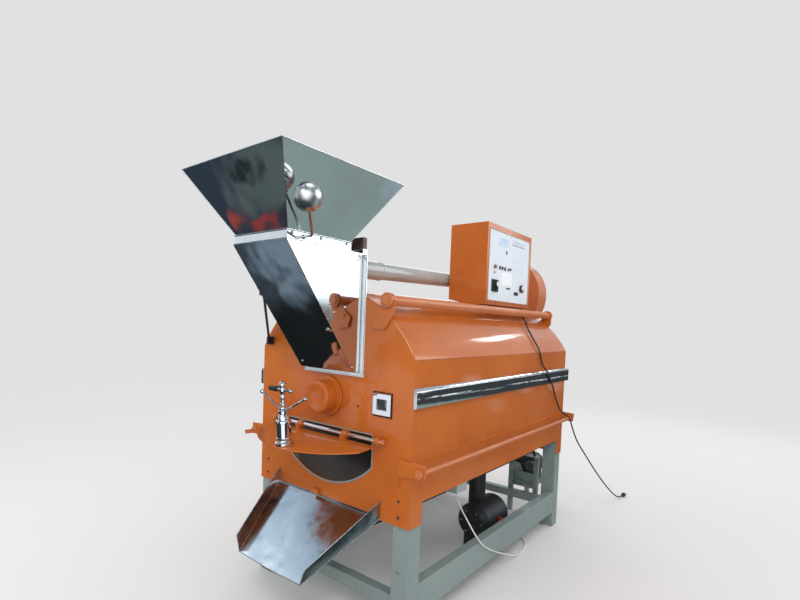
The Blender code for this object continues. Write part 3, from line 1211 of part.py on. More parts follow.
def make_clamp():
    """Clamp on the door's rim: barrel, wing arms and spindle, whose axis leaves the shut door's face."""
    base = door_face() - BURY / 2 - GAP
    axis = (0, base, HINGE_Z - CLAMP_DROP)
    bore = SPINDLE_R + GAP
    top = BARREL_HEIGHT
    bore_floor = top - BARREL_BORE_DEPTH
    profile = [(0, bore_floor), (bore, bore_floor), (bore, top), (BARREL_R, top), (BARREL_R, BARREL_FLANGE_T),
               (BARREL_FLANGE_R, BARREL_FLANGE_T), (BARREL_FLANGE_R, 0), (0, 0)]
    piece("clamp_barrel", turned(profile, axis, (0, -1, 0)), CHROME, axis, DOOR_CARRIER)
    wing_low = top + GAP
    wing_axis = (0, base - wing_low, axis[2])
    hub = turned([(bore, WING_HUB_T), (WING_HUB_R, WING_HUB_T), (WING_HUB_R, 0), (bore, 0)], wing_axis, (0, -1, 0),
                 closed=True)
    wings = piece("clamp_wings", hub, CHROME, wing_axis, DOOR_CARRIER)
    start_out = wing_low + WING_HUB_T / 2
    for label, side in BOTH_SIDES:
        start = (side * (bore + WING_R), base - start_out, axis[2])
        end = (side * WING_REACH, base - start_out - WING_RISE, axis[2])
        weld(wings, f"arm_{label}", rod(start, end, WING_R, SMALL_SIDES), DOOR_CARRIER)
        weld(wings, f"end_{label}", ball(end, WING_BALL_R), DOOR_CARRIER)
    low = base - bore_floor - GAP
    high = base - SPINDLE_TOP
    spindle = piece("clamp_spindle", rod((0, low, axis[2]), (0, high, axis[2]), SPINDLE_R, SMALL_SIDES), CHROME,
                    (0, low, axis[2]), DOOR_CARRIER)
    bar_y = high + T_GRIP_R
    weld(spindle, "head", ball((0, high, axis[2]), SPINDLE_BALL_R), DOOR_CARRIER)
    weld(spindle, "lever", rod((T_LEVER[0], bar_y, axis[2]), (T_LEVER[1], bar_y, axis[2]), T_LEVER_R, SMALL_SIDES),
         DOOR_CARRIER)
    weld(spindle, "grip", rod((T_LEVER[0] - BURY, bar_y, axis[2]), (T_LEVER[0] + T_GRIP_LENGTH, bar_y, axis[2]),
                              T_GRIP_R, SMALL_SIDES), DOOR_CARRIER)
    weld(spindle, "end", ball((T_LEVER[1], bar_y, axis[2]), T_END_R), DOOR_CARRIER)


def make_tray():
    """Sheet tray that narrows as it falls away from the front plate: floor in two halves, walls, rear flange."""
    rear_y = -GAP - TRAY_T / 2
    shape = bmesh.new()

    def station(half, wall, y_place, z_place, flare, fold):
        top = z_place + wall
        places = [(-half - flare, y_place, top), (-half, y_place, z_place), (0, y_place, z_place - fold),
                  (half, y_place, z_place), (half + flare, y_place, top)]
        return [shape.verts.new(place) for place in places]

    rear = station(TRAY_REAR_HALF, TRAY_WALL_REAR, rear_y, TRAY_REAR_Z, 0, 0)
    front = station(TRAY_FRONT_HALF, TRAY_WALL_FRONT, TRAY_FRONT_Y, TRAY_FRONT_Z, TRAY_FLARE, TRAY_FOLD)
    flange = [shape.verts.new((vertex.co.x, rear_y, TRAY_REAR_Z + TRAY_FLANGE)) for vertex in rear[1:4]]
    for index in range(4):
        shape.faces.new((rear[index], rear[index + 1], front[index + 1], front[index]))
    for index in range(2):
        shape.faces.new((flange[index], flange[index + 1], rear[index + 2], rear[index + 1]))
    tray = piece("discharge_tray", held_mesh(shape, "tray"), STEEL)
    sheet = tray.modifiers.new("sheet", "SOLIDIFY")
    sheet.thickness = TRAY_T
    sheet.offset = 0


def make_window():
    outer = centred((WINDOW_X, WINDOW_Z), WINDOW_FRAME)
    hole = centred((WINDOW_X, WINDOW_Z), WINDOW_HOLE)
    piece("window_frame", slab([outer, hole], (-WINDOW_PROUD, -GAP)), STEEL)
    pane = slab([inset(hole, GAP)], (-PANE_INSET - PANE_T, -PANE_INSET))
    piece("window_glass", pane, GLASS)


def panel_spans():
    """Y and Z spans of the opening that the control panel fills."""
    return grown(BOX_Y, -PANEL_MARGIN_Y), (BOX_Z[0] + PANEL_MARGIN_Z[0], BOX_Z[1] - PANEL_MARGIN_Z[1])


def make_control_box():
    """Sheet enclosure with a cut-off lower edge, open towards +X where the panel sits, and the panel."""
    outline = [(BOX_X[0], BOX_CUT_Z), (BOX_CUT_X, BOX_Z[0]), (BOX_X[1], BOX_Z[0]), (BOX_X[1], BOX_Z[1]),
               (BOX_X[0], BOX_Z[1])]
    enclosure = piece("control_box", slab([outline], BOX_Y), ORANGE)
    cut(enclosure, "inside", slab([inset(outline, BOX_T)], grown(BOX_Y, -BOX_T)))
    panel_y, panel_z = panel_spans()
    front = BOX_X[1]
    cut(enclosure, "opening", box((front - BOX_T - BURY, panel_y[0], panel_z[0]),
                                  (front + OVERRUN, panel_y[1], panel_z[1])))
    fit_y, fit_z = grown(panel_y, -GAP), grown(panel_z, -GAP)
    face = front - PANEL_INSET
    sheet = box((face - PANEL_T, fit_y[0], fit_z[0]), (face, fit_y[1], fit_z[1]))
    panel = piece("control_panel", sheet, WHITE)
    half = SWITCH_BASE / 2
    weld(panel, "switch_base", box((face - BURY / 2, SWITCH_AT[0] - half, SWITCH_AT[1] - half),
                                   (face + SWITCH_BASE_T, SWITCH_AT[0] + half, SWITCH_AT[1] + half)))
    hole = rod((face - OVERRUN, *BUTTON_AT), (face + OVERRUN, *BUTTON_AT), BUTTON_STEM_R + GAP, SMALL_SIDES)
    cut(panel, "button_hole", hole)
    seat = face + SWITCH_BASE_T + GAP
    profile = [(0, SWITCH_HEIGHT), (SWITCH_R, SWITCH_HEIGHT), (SWITCH_R, 0), (0, 0)]
    switch = piece("main_switch", turned(profile, (seat, *SWITCH_AT), (1, 0, 0)), BLACK, (seat, *SWITCH_AT))
    wide, long, high = SWITCH_BAR
    low = seat + SWITCH_HEIGHT
    weld(switch, "bar", box((low - BURY, SWITCH_AT[0] - wide / 2, SWITCH_AT[1] - long / 2),
                            (low + high, SWITCH_AT[0] + wide / 2, SWITCH_AT[1] + long / 2)))
    seat = face + GAP
    profile = [(0, KNOB_HEIGHT), (KNOB_TOP_R, KNOB_HEIGHT), (KNOB_R, 0), (0, 0)]
    piece("speed_knob", turned(profile, (seat, *KNOB_AT), (1, 0, 0)), BLACK, (seat, *KNOB_AT))
    low = face + GAP + BUTTON_TRAVEL
    profile = [(0, BUTTON_HEIGHT), (BUTTON_R, BUTTON_HEIGHT), (BUTTON_R, 0), (BUTTON_STEM_R, 0),
               (BUTTON_STEM_R, -BUTTON_STEM), (0, -BUTTON_STEM)]
    piece("start_button", turned(profile, (low, *BUTTON_AT), (1, 0, 0), SMALL_SIDES), RED, (low, *BUTTON_AT))


def burner_profile(wall=0.0):
    """Half outline of the burner's body, or of the space inside its wall."""
    length = BURNER_Y[1] - BURNER_Y[0]
    radius, high, low = BURNER_R - wall, length - wall, wall
    return [(0, high), (radius - BURNER_ROUND, high), (radius, high - BURNER_ROUND), (radius, low + BURNER_ROUND),
            (radius - BURNER_ROUND, low), (0, low)]


def make_burner():
    """Hollow burner body on two feet, with the neck that feeds the fire box, an air intake and a fitting."""
    start = (BURNER_X, BURNER_Y[0], BURNER_Z)
    burner = piece("burner", turned(burner_profile(), start, (0, 1, 0)), DARK)
    top = FIRE_BOX_Z[0] - GAP
    neck = (BURNER_NECK_X, BURNER_NECK_Y)
    weld(burner, "neck", rod((*neck, BURNER_Z), (*neck, top), BURNER_NECK_R))
    starts = (BURNER_Y[0] + BURNER_FOOT_INSET, BURNER_Y[1] - BURNER_FOOT_INSET - BURNER_FOOT_T)
    for index, edge in enumerate(starts):
        weld(burner, f"foot_{index}", box((BURNER_X - BURNER_FOOT_HALF, edge, 0),
                                          (BURNER_X + BURNER_FOOT_HALF, edge + BURNER_FOOT_T, BURNER_Z)))
    tip = BURNER_X + BURNER_R + FITTING_OUT
    weld(burner, "fitting", rod((BURNER_X, FITTING_Y, BURNER_Z), (tip, FITTING_Y, BURNER_Z), FITTING_R, SMALL_SIDES))
    cut(burner, "inside", turned(burner_profile(BURNER_WALL), start, (0, 1, 0)))
    cut(burner, "neck_bore", rod((*neck, BURNER_Z), (*neck, top + OVERRUN), BURNER_HOLE_R))
    intake = rod((BURNER_X, BURNER_Y[1] - OVERRUN, BURNER_Z), (BURNER_X, BURNER_Y[1] + OVERRUN, BURNER_Z), INTAKE_R)
    cut(burner, "intake", intake)


def smooth_route(points, step):
    """Points at an even step along a smooth curve through the route's own points, its end legs kept straight."""
    knots = [Vector(point) for point in points]
    fine = [knots[1]]
    for before, start, end, after in zip(knots, knots[1:], knots[2:], knots[3:]):
        for part in range(1, 21):
            t = part / 20
            fine.append(0.5 * (2 * start + (end - before) * t + (2 * before - 5 * start + 4 * end - after) * t ** 2
                               + (3 * start - before - 3 * end + after) * t ** 3))
    runs = [0.0]
    for start, end in zip(fine, fine[1:]):
        runs.append(runs[-1] + (end - start).length)
    count = max(2, round(runs[-1] / step))
    result = [points[0]]
    index = 0
    for number in range(count + 1):
        target = runs[-1] * number / count
        while index < len(runs) - 2 and runs[index + 1] < target:
            index += 1
        share = (target - runs[index]) / (runs[index + 1] - runs[index])
        result.append(tuple(fine[index].lerp(fine[index + 1], share)))
    return result + [points[-1]]


def mains_route():
    """Places of the mains cord from its gland to its plug."""
    start = (*GLAND_AT, BOX_Z[0] - GLAND_LENGTH - 2 * GAP)
    points = [(start[0] + out, start[1] + back, start[2] + up) for out, back, up in MAINS_LEAD]
    for turn, out, back in MAINS_HOOD:
        radius = HOOD_R + out
        points.append((radius * cos(turn), BODY_LENGTH + back, HOOD_CENTRE_Z + radius * sin(turn)))
    for level, places in ((SHOULDER_Z, MAINS_SIDE), (LOWER_ROD[1], MAINS_PAST), (0, MAINS_FALL)):
        points += [(BODY_HALF + out, BODY_LENGTH + back, level + up) for out, back, up in places]
    return points


def cable_route():
    """Places of the burner's cable from the junction box to the burner."""
    points = []
    for level, places in ((JUNCTION_Z[0], CABLE_LEAD), (0, CABLE_FALL)):
        points += [(BODY_HALF + out, along, level + up) for out, along, up in places]
    return points


def make_cords():
    """Mains cord with its gland and plug, and the burner's cable."""
    low = BOX_Z[0] - GAP - GLAND_LENGTH
    gland = rod((*GLAND_AT, low), (*GLAND_AT, BOX_Z[0] - GAP), GLAND_R, SMALL_SIDES)
    piece("mains_gland", gland, BLACK)
    route = mains_route()
    piece("mains_cord", tube(smooth_route(route, MAINS_STEP), MAINS_R), BLACK)
    piece("burner_cable", tube(smooth_route(cable_route(), CABLE_STEP), CABLE_R), WHITE_CABLE)
    end, before = Vector(route[-1]), Vector(route[-2])
    run = end - before
    run.z = 0
    run.normalize()
    start = end + run * GAP
    plug = piece("mains_plug", rod(start, start + run * PLUG_LENGTH, PLUG_R, SMALL_SIDES), BLACK)
    across = Vector((-run.y, run.x, 0)) * PLUG_PIN_SPACING / 2
    for index, shift in enumerate((across, -across)):
        pin = rod(start + shift + run * (PLUG_LENGTH - BURY), start + shift + run * (PLUG_LENGTH + PLUG_PIN_LENGTH),
                  PLUG_PIN_R, SMALL_SIDES)
        weld(plug, f"pin_{index}", pin)


make_stand()
make_motor_stand()
make_front_plate()
make_rear_plate()
make_casing()
make_hood()
make_tie_rods()
make_fire_box()
make_drum()
make_bearings()
make_chain_drive()
make_gear_motor()
make_hopper()
make_collar()
make_flap()
make_chute()
make_stay()
make_exhaust()
make_fan()
make_door()
make_clamp()
make_tray()
make_window()
make_control_box()
make_burner()
make_cords()
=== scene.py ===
"""The drum roaster with its finishes and small pieces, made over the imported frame. Lengths are metres."""
import bpy
import json
from math import acos, atan2, cos, hypot, pi, radians, sin, tau
from mathutils import Matrix, Vector

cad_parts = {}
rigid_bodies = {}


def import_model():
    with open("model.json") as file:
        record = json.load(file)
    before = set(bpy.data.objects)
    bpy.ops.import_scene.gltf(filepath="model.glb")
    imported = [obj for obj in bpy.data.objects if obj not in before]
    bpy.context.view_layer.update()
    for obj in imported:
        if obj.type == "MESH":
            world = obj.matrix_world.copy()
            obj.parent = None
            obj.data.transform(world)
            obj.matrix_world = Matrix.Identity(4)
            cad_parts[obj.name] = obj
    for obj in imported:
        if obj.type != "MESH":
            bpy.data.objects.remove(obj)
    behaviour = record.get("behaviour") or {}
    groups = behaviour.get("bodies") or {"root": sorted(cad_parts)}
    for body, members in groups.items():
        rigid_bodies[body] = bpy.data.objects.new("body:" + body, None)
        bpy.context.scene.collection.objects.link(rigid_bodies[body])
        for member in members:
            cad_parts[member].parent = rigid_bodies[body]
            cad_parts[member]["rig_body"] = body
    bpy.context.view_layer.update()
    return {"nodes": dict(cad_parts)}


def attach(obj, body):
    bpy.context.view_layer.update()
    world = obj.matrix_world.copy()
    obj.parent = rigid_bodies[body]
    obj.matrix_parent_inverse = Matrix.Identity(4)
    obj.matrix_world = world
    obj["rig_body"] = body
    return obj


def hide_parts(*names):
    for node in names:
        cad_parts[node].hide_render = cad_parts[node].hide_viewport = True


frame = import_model()

# Main places: Y from the front plate's face, Z from the floor; +X is the side with the control panel
FRONT = -0.784              # the front plate's face in the row frame
REAR = 1.745                # the rear plate's face
HOOD_Z = 0.934              # middle of the rolled hood and of the plates' round tops
COVER_RADIUS = 0.5701       # outer face of the hood's top cover
DRUM_Z = 1.0
HINGE = (-0.030, 0.847)     # the door's hinge rod, Y and Z
CLAMP_FOOT = Vector((0, -1.03498, 0.8103))      # on the open door, in the row frame
HOPPER_X, HOPPER_Y = 0.025, -0.249
FLAP_Y, FLAP_Z = -0.337, 1.668
FAN_Z = 1.655
PANEL_X = 0.3035            # face of the control panel
BURNER_X, BURNER_Z = 0.290, 0.200
MOTOR_SHAFT = (0.265, 0.335)
CHAIN_PITCH = 0.01905
DRUM_TEETH, MOTOR_TEETH = 40, 14

FORWARD, BACKWARD, UP = (0, -1, 0), (0, 1, 0), (0, 0, 1)
RIGHT, LEFT = (1, 0, 0), (-1, 0, 0)
CORNERS = ((-1, -1), (1, -1), (1, 1), (-1, 1))


def at(x, y, z):
    """A place given from the front plate's face, in the row frame."""
    return Vector((x, y + FRONT, z))


def shifted(place):
    return Matrix.Translation(place)


def round_turns(count, start=0.0):
    """Angles of evenly spaced places on a circle."""
    return [tau * step / count + start for step in range(count)]


# Selection and finishing

def choose(*pieces):
    bpy.ops.object.select_all(action="DESELECT")
    for piece in pieces:
        piece.select_set(True)
    bpy.context.view_layer.objects.active = pieces[-1]


def set_down(piece, place=None):
    """Puts a piece's place into its mesh."""
    if place is not None:
        piece.matrix_world = place
    choose(piece)
    bpy.ops.object.transform_apply(location=True, rotation=True, scale=True)
    return piece


def reshaped(piece, operator, **settings):
    """Uses one operator on the whole of a mesh."""
    choose(piece)
    bpy.ops.object.mode_set(mode="EDIT")
    bpy.ops.mesh.select_all(action="SELECT")
    operator(**settings)
    bpy.ops.object.mode_set(mode="OBJECT")


def smoothed(piece, angle):
    choose(piece)
    bpy.ops.object.shade_smooth_by_angle(angle=radians(angle))
    return piece


def finished(piece, name, finish, body="frame", node=None):
    """Names a piece, gives it its finish, lets it ride, and lets it stand for a node."""
    piece.name = piece.data.name = name
    piece.data.materials.clear()
    piece.data.materials.append(finish)
    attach(piece, body)
    if node:
        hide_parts(node)
    return piece


def rounded(piece, width, segments=2, angle=35, smooth=50):
    """Rolls the edges over and keeps the flats flat."""
    smoothed(piece, smooth)
    edges = piece.modifiers.new("edges", "BEVEL")
    edges.width = width
    edges.segments = segments
    edges.limit_method = "ANGLE"
    edges.angle_limit = radians(angle)
    piece.modifiers.new("flats", "WEIGHTED_NORMAL").keep_sharp = True
    for step in list(piece.modifiers):
        bpy.ops.object.modifier_apply(modifier=step.name)
    return piece


def joined(pieces):
    choose(*pieces)
    bpy.ops.object.join()
    return bpy.context.active_object


def pointing(start, direction):
    turn = Vector(UP).rotation_difference(Vector(direction))
    return shifted(Vector(start)) @ turn.to_matrix().to_4x4()


# Ways of making a piece

def new_object(name, data):
    piece = bpy.data.objects.new(name, data)
    bpy.context.scene.collection.objects.link(piece)
    return piece


def meshed(piece):
    choose(piece)
    bpy.ops.object.convert(target="MESH")
    return bpy.context.active_object


def add_run(line, knots, closed):
    spline = line.splines.new("POLY")
    spline.points.add(len(knots) - 1)
    for knot, place in zip(spline.points, knots):
        knot.co = (*place, 1)
    spline.use_cyclic_u = closed
    return spline


def round_line(name, points, radius, resolution, closed=False):
    """A round bar's curve through points."""
    line = bpy.data.curves.new(name, "CURVE")
    line.dimensions = "3D"
    line.bevel_depth = radius
    line.bevel_resolution = resolution
    line.use_fill_caps = True
    add_run(line, points, closed)
    return new_object(name, line)


def piped(points, radius, resolution=4, closed=False):
    """A rod or bead along points."""
    return smoothed(meshed(round_line("line", points, radius, resolution, closed)), 40)


def beaded(corners, radius, resolution=3, closed=False):
    """A bead along places given from the front plate's face."""
    return piped([at(*corner) for corner in corners], radius, resolution, closed)


def block(low, high, round_over=0.001, segments=2):
    """A sheet or bar with rolled edges between two corners."""
    bpy.ops.object.select_all(action="DESELECT")
    low, high = at(*low), at(*high)
    bpy.ops.mesh.primitive_cube_add(size=1, location=(low + high) / 2)
    piece = bpy.context.active_object
    piece.scale = high - low
    return rounded(set_down(piece), round_over, segments)


def lathed(profile, start, direction, sides=40, round_over=0.0):
    """A turned piece: a disc drawn out ring by ring along its axis, from (radius, height) pairs."""
    radius, height = profile[0]
    bpy.ops.object.select_all(action="DESELECT")
    bpy.ops.mesh.primitive_circle_add(vertices=sides, radius=radius, fill_type="NGON", location=(0, 0, height))
    piece = set_down(bpy.context.active_object)
    bpy.ops.object.mode_set(mode="EDIT")
    bpy.ops.mesh.select_all(action="SELECT")
    for next_radius, next_height in profile[1:]:
        bpy.ops.mesh.extrude_region_move(TRANSFORM_OT_translate={"value": (0, 0, next_height - height)})
        ratio = next_radius / radius
        bpy.ops.transform.resize(value=(ratio, ratio, 1), center_override=(0, 0, next_height))
        radius, height = next_radius, next_height
    bpy.ops.mesh.select_all(action="SELECT")
    bpy.ops.mesh.normals_make_consistent(inside=False)
    bpy.ops.object.mode_set(mode="OBJECT")
    set_down(piece, pointing(start, direction))
    return rounded(piece, round_over, 2, 30, 40) if round_over else smoothed(piece, 40)


def ball_profile(radius, steps, tip):
    """A ball's rings for the lathe, with a small flat at each pole."""
    turns = [pi * step / steps for step in range(steps + 1)]
    return [(max(tip, radius * sin(turn)), -radius * cos(turn)) for turn in turns]


def plate(outline, thickness, place, round_over=0.0006, segments=2):
    """A flat cut plate: its outline in its own plane, then turned into place."""
    shape = bpy.data.curves.new("outline", "CURVE")
    shape.dimensions = "2D"
    shape.fill_mode = "BOTH"
    shape.extrude = thickness / 2
    add_run(shape, [(across, up, 0) for across, up in outline], True)
    piece = set_down(meshed(new_object("outline", shape)), place)
    return rounded(merged(piece), round_over, segments)


def merged(piece):
    """Welds a mesh's loose triangles and clears the lines that cross its flats."""
    reshaped(piece, bpy.ops.mesh.remove_doubles, threshold=0.00002)
    reshaped(piece, bpy.ops.mesh.dissolve_limited, angle_limit=radians(0.6))
    return piece


def copy_of(node):
    """A welded copy of a node's solid."""
    piece = new_object(node + "_copy", frame["nodes"][node].data.copy())
    choose(piece)
    bpy.ops.mesh.customdata_custom_splitnormals_clear()
    return merged(piece)


def dressed(node, finish, edge=0.001, segments=2, angle=35, smooth=50):
    """A node's solid with rolled edges, which stands for the node."""
    piece = rounded(copy_of(node), edge, segments, angle, smooth)
    finished(piece, node + "_skin", finish, frame["nodes"][node]["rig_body"], node)


def placed_copies(model, places):
    """Copies of one model, each with its own mesh, moved by matrices."""
    copies = [set_down(new_object(model.name, model.data.copy()), place) for place in places]
    bpy.data.objects.remove(model)
    return copies


def hex_head(across, height):
    """A bolt head on a washer, standing on the origin."""
    washer = lathed([(across * 0.62, 0), (across * 0.66, across * 0.03), (across * 0.66, across * 0.10),
                     (across * 0.62, across * 0.13)], (0, 0, 0), UP, 24)
    head = lathed([(across * 0.577, across * 0.12), (across * 0.577, height * 0.86), (across * 0.49, height)],
                  (0, 0, 0), UP, 6)
    return joined([washer, head])


def round_head(radius):
    """A rivet's head standing on the origin."""
    return lathed([(radius, 0), (radius * 0.97, radius * 0.2), (radius * 0.82, radius * 0.42),
                   (radius * 0.5, radius * 0.58), (radius * 0.12, radius * 0.64)], (0, 0, 0), UP, 20)


def fasteners(name, model, places, finish, body="frame"):
    """Heads of one kind joined into one piece: (place, direction) pairs."""
    copies = placed_copies(model, [pointing(place, direction) for place, direction in places])
    finished(joined(copies), name, finish, body)


# Finishes


class Mixing:
    """The nodes of a finish. Each step gives the socket that the next one takes."""

    def __init__(self, tree, place):
        self.nodes, self.links, self.place = tree.nodes, tree.links, place
        self.shader = tree.nodes.get("Principled BSDF")

    def fill(self, node, label, value):
        """Links a socket, or sets a number or colour."""
        if isinstance(value, bpy.types.NodeSocket):
            self.links.new(value, node.inputs[label])
        else:
            node.inputs[label].default_value = value

    def add(self, kind, inputs, **settings):
        node = self.nodes.new("ShaderNode" + kind)
        for name, value in settings.items():
            setattr(node, name, value)
        for label, value in inputs.items():
            self.fill(node, label, value)
        return node

    def give(self, label, value):
        self.fill(self.shader, label, value)

    def noise(self, scale, detail=2.0, roughness=0.5, stretch=None):
        """The grain of a surface at a scale, drawn out along an axis where stretch is given."""
        place = self.place
        if stretch:
            place = self.add("Mapping", {"Vector": place, "Scale": stretch}).outputs["Vector"]
        inputs = {"Vector": place, "Scale": scale, "Detail": detail, "Roughness": roughness}
        return self.add("TexNoise", inputs).outputs["Fac"]

    def spread(self, value, low, high, out_low=0, out_high=1):
        """Maps a value's range onto another."""
        inputs = {"Value": value, "From Min": low, "From Max": high, "To Min": out_low, "To Max": out_high}
        return self.add("MapRange", inputs).outputs["Result"]

    def blended(self, share, first, second):
        """A mix of two colours, either of them a colour or a socket."""
        first, second = [(*colour, 1) if isinstance(colour, tuple) else colour for colour in (first, second)]
        return self.add("Mix", {"Factor": share, 6: first, 7: second}, data_type="RGBA").outputs[2]

    def raised(self, height, strength, distance, before=None):
        inputs = {"Strength": strength, "Distance": distance, "Height": height}
        if before:
            inputs["Normal"] = before
        normal = self.add("Bump", inputs).outputs["Normal"]
        self.give("Normal", normal)
        return normal


def new_finish(name):
    finish = bpy.data.materials.new(name)
    finish.use_nodes = True
    place = finish.node_tree.nodes.new("ShaderNodeTexCoord").outputs["Object"]
    return finish, Mixing(finish.node_tree, place)


def painted(name, colour, shade, grime, gloss=0.3, coat=0.4, specks=0.72):
    """Sprayed paint: cloudy tone, orange peel, smears in the gloss and a few dark chips."""
    finish, mix = new_finish(name)
    tone = mix.blended(mix.spread(mix.noise(2.3, 4, 0.55), 0.32, 0.68), colour, shade)
    tone = mix.blended(mix.spread(mix.noise(46, 5, 0.62), specks, specks + 0.035, 0, 0.85), tone, grime)
    dust = mix.spread(mix.noise(7, 6, 0.7), 0.52, 0.78, 0, 0.22)
    mix.give("Base Color", mix.blended(dust, tone, grime))
    mix.give("Roughness", mix.spread(mix.noise(12, 6, 0.6), 0.3, 0.7, gloss * 0.8, gloss * 1.35))
    mix.give("Specular IOR Level", 0.22)
    mix.give("Coat Weight", coat)
    mix.give("Coat Roughness", 0.05)
    waves = mix.raised(mix.noise(4.5, 2, 0.4), 0.12, 0.004)
    mix.raised(mix.noise(420, 2, 0.5), 0.25, 0.0004, waves)
    return finish


def polished(name, colour, gloss=0.07, wave=0.3, wave_size=5.0, brush=None):
    """Polished sheet or bar: fingermarks in the gloss, faint waves, and a brush direction where given."""
    finish, mix = new_finish(name)
    mix.give("Metallic", 1)
    dull = tuple(part * 0.8 for part in colour)
    mix.give("Base Color", mix.blended(mix.spread(mix.noise(3.0, 4, 0.6), 0.3, 0.7), colour, dull))
    mix.give("Roughness", mix.spread(mix.noise(18, 7, 0.7), 0.35, 0.75, gloss * 0.6, gloss * 2.1))
    waves = mix.raised(mix.noise(wave_size, 2, 0.45), wave, 0.01)
    if brush:
        mix.raised(mix.noise(60, 3, 0.7, brush), 0.1, 0.0003, waves)
    return finish


def plain_metal(name, colour, stain, gloss=0.4):
    """Bare or oxidised steel: stained, with a fine uneven grain."""
    finish, mix = new_finish(name)
    mix.give("Metallic", 1)
    mix.give("Base Color", mix.blended(mix.spread(mix.noise(9, 6, 0.65), 0.35, 0.7), colour, stain))
    mix.give("Roughness", mix.spread(mix.noise(25, 5, 0.6), 0.3, 0.7, gloss * 0.75, gloss * 1.3))
    mix.raised(mix.noise(90, 4, 0.6), 0.25, 0.0006)
    return finish


def moulded(name, colour, gloss=0.35, grain=900.0, coat=0.0):
    """Plastic or rubber with a fine moulded grain."""
    finish, mix = new_finish(name)
    lighter = tuple(min(1.0, part * 1.35 + 0.004) for part in colour)
    mix.give("Base Color", mix.blended(mix.spread(mix.noise(30, 4, 0.6), 0.35, 0.7), colour, lighter))
    mix.give("Roughness", mix.spread(mix.noise(60, 3, 0.6), 0.3, 0.7, gloss * 0.8, gloss * 1.25))
    mix.give("Coat Weight", coat)
    mix.raised(mix.noise(grain, 2, 0.5), 0.15, 0.0002)
    return finish


def make_panel_foil():
    """Pale foil of the control panel, a little uneven."""
    finish, mix = new_finish("panel foil")
    tone = mix.spread(mix.noise(5, 3, 0.5), 0.3, 0.7)
    mix.give("Base Color", mix.blended(tone, (0.76, 0.83, 0.91), (0.80, 0.86, 0.93)))
    mix.give("Roughness", mix.spread(mix.noise(40, 4, 0.6), 0.3, 0.7, 0.50, 0.56))
    mix.raised(mix.noise(500, 2, 0.5), 0.03, 0.0001)
    return finish


def make_glass():
    """Smoked sight glass, sooty inside."""
    finish, mix = new_finish("sight glass")
    soot = mix.spread(mix.noise(40, 4, 0.6), 0.3, 0.7)
    mix.give("Base Color", mix.blended(soot, (0.02, 0.024, 0.024), (0.05, 0.055, 0.05)))
    mix.give("Roughness", 0.12)
    mix.give("Specular IOR Level", 0.2)
    mix.give("Alpha", 0.88)
    return finish


ORANGE = painted("orange paint", (0.50, 0.116, 0.012), (0.575, 0.152, 0.022), (0.15, 0.040, 0.012),
                 0.33, 0.6)
ORANGE_DULL = painted("orange paint on small pieces", (0.52, 0.155, 0.050), (0.60, 0.20, 0.075),
                      (0.16, 0.055, 0.025), 0.36, 0.3, 0.70)
# Pale orange paint: on the panel frame it is the frame's colour, on the front plate's edge it is a painted highlight
PALE_EDGE_AND_HIGHLIGHT = painted("pale edge paint and painted highlight", (0.62, 0.33, 0.20), (0.74, 0.46, 0.32), (0.35, 0.12, 0.05),
                    0.25, 0.6)
GREY = painted("grey green paint", (0.215, 0.27, 0.265), (0.27, 0.325, 0.315),
               (0.07, 0.06, 0.05), 0.42, 0.15, 0.67)
CAP_GREY = painted("dark grey paint", (0.055, 0.06, 0.065), (0.09, 0.09, 0.09), (0.03, 0.02, 0.015),
                   0.5, 0.1, 0.68)
CAP_BROWN = painted("dark brown paint", (0.085, 0.045, 0.040), (0.13, 0.07, 0.06),
                    (0.03, 0.02, 0.015), 0.45, 0.3, 0.68)
SOOT = painted("black stove paint", (0.018, 0.019, 0.021), (0.035, 0.035, 0.036), (0.05, 0.03, 0.02),
               0.55, 0.05, 0.66)
PIPE_GREY = painted("pale grey paint", (0.40, 0.43, 0.43), (0.50, 0.53, 0.52),
                    (0.16, 0.14, 0.11), 0.22, 0.9, 0.68)
DRUM_STEEL = painted("drum steel", (0.38, 0.38, 0.39), (0.28, 0.275, 0.27), (0.12, 0.10, 0.09), 0.5, 0)
MIRROR = polished("mirror steel", (0.70, 0.71, 0.72), 0.05, 0.35, 4.0)
MIRROR_SEAM = polished("ground seam", (0.62, 0.63, 0.64), 0.22, 0.5, 60.0)
TRAY_STEEL = polished("tray steel", (0.60, 0.62, 0.64), 0.16, 0.25, 5.0, (1, 14, 14))
STRIP_STEEL = polished("trim steel", (0.68, 0.70, 0.71), 0.045, 0.32, 5.0, (14, 0.6, 14))
CHROME = polished("chrome", (0.80, 0.81, 0.83), 0.05, 0.06, 14.0)
SATIN_STEEL = polished("satin steel", (0.86, 0.88, 0.89), 0.27, 0.1, 12.0)
SHAFT_STEEL = plain_metal("shaft steel", (0.36, 0.35, 0.34), (0.16, 0.12, 0.09), 0.35)
CHAIN_STEEL = plain_metal("oiled chain steel", (0.16, 0.145, 0.13), (0.05, 0.035, 0.025), 0.3)
ZINC = plain_metal("zinc plate", (0.60, 0.60, 0.58), (0.42, 0.40, 0.36), 0.3)
BLACK = moulded("black plastic", (0.012, 0.012, 0.013), 0.32)
PANEL_BLACK = moulded("dull black plastic", (0.010, 0.013, 0.015), 0.7, 700)
KNOB_PURPLE = moulded("dark purple plastic", (0.045, 0.022, 0.045), 0.3, 700, 0.3)
KNOB_PINK = moulded("pinkish knob cap", (0.80, 0.66, 0.72), 0.25, 700, 0.4)
RUBBER = moulded("black cord sheath", (0.012, 0.0125, 0.014), 0.5, 600)
WHITE_SHEATH = moulded("white cable sheath", (0.66, 0.66, 0.63), 0.45, 600)
BUTTON_ORANGE = moulded("orange button", (0.30, 0.065, 0.03), 0.25, 900, 0.3)
RED_CAP = moulded("red cap", (0.45, 0.015, 0.01), 0.3, 900, 0.3)
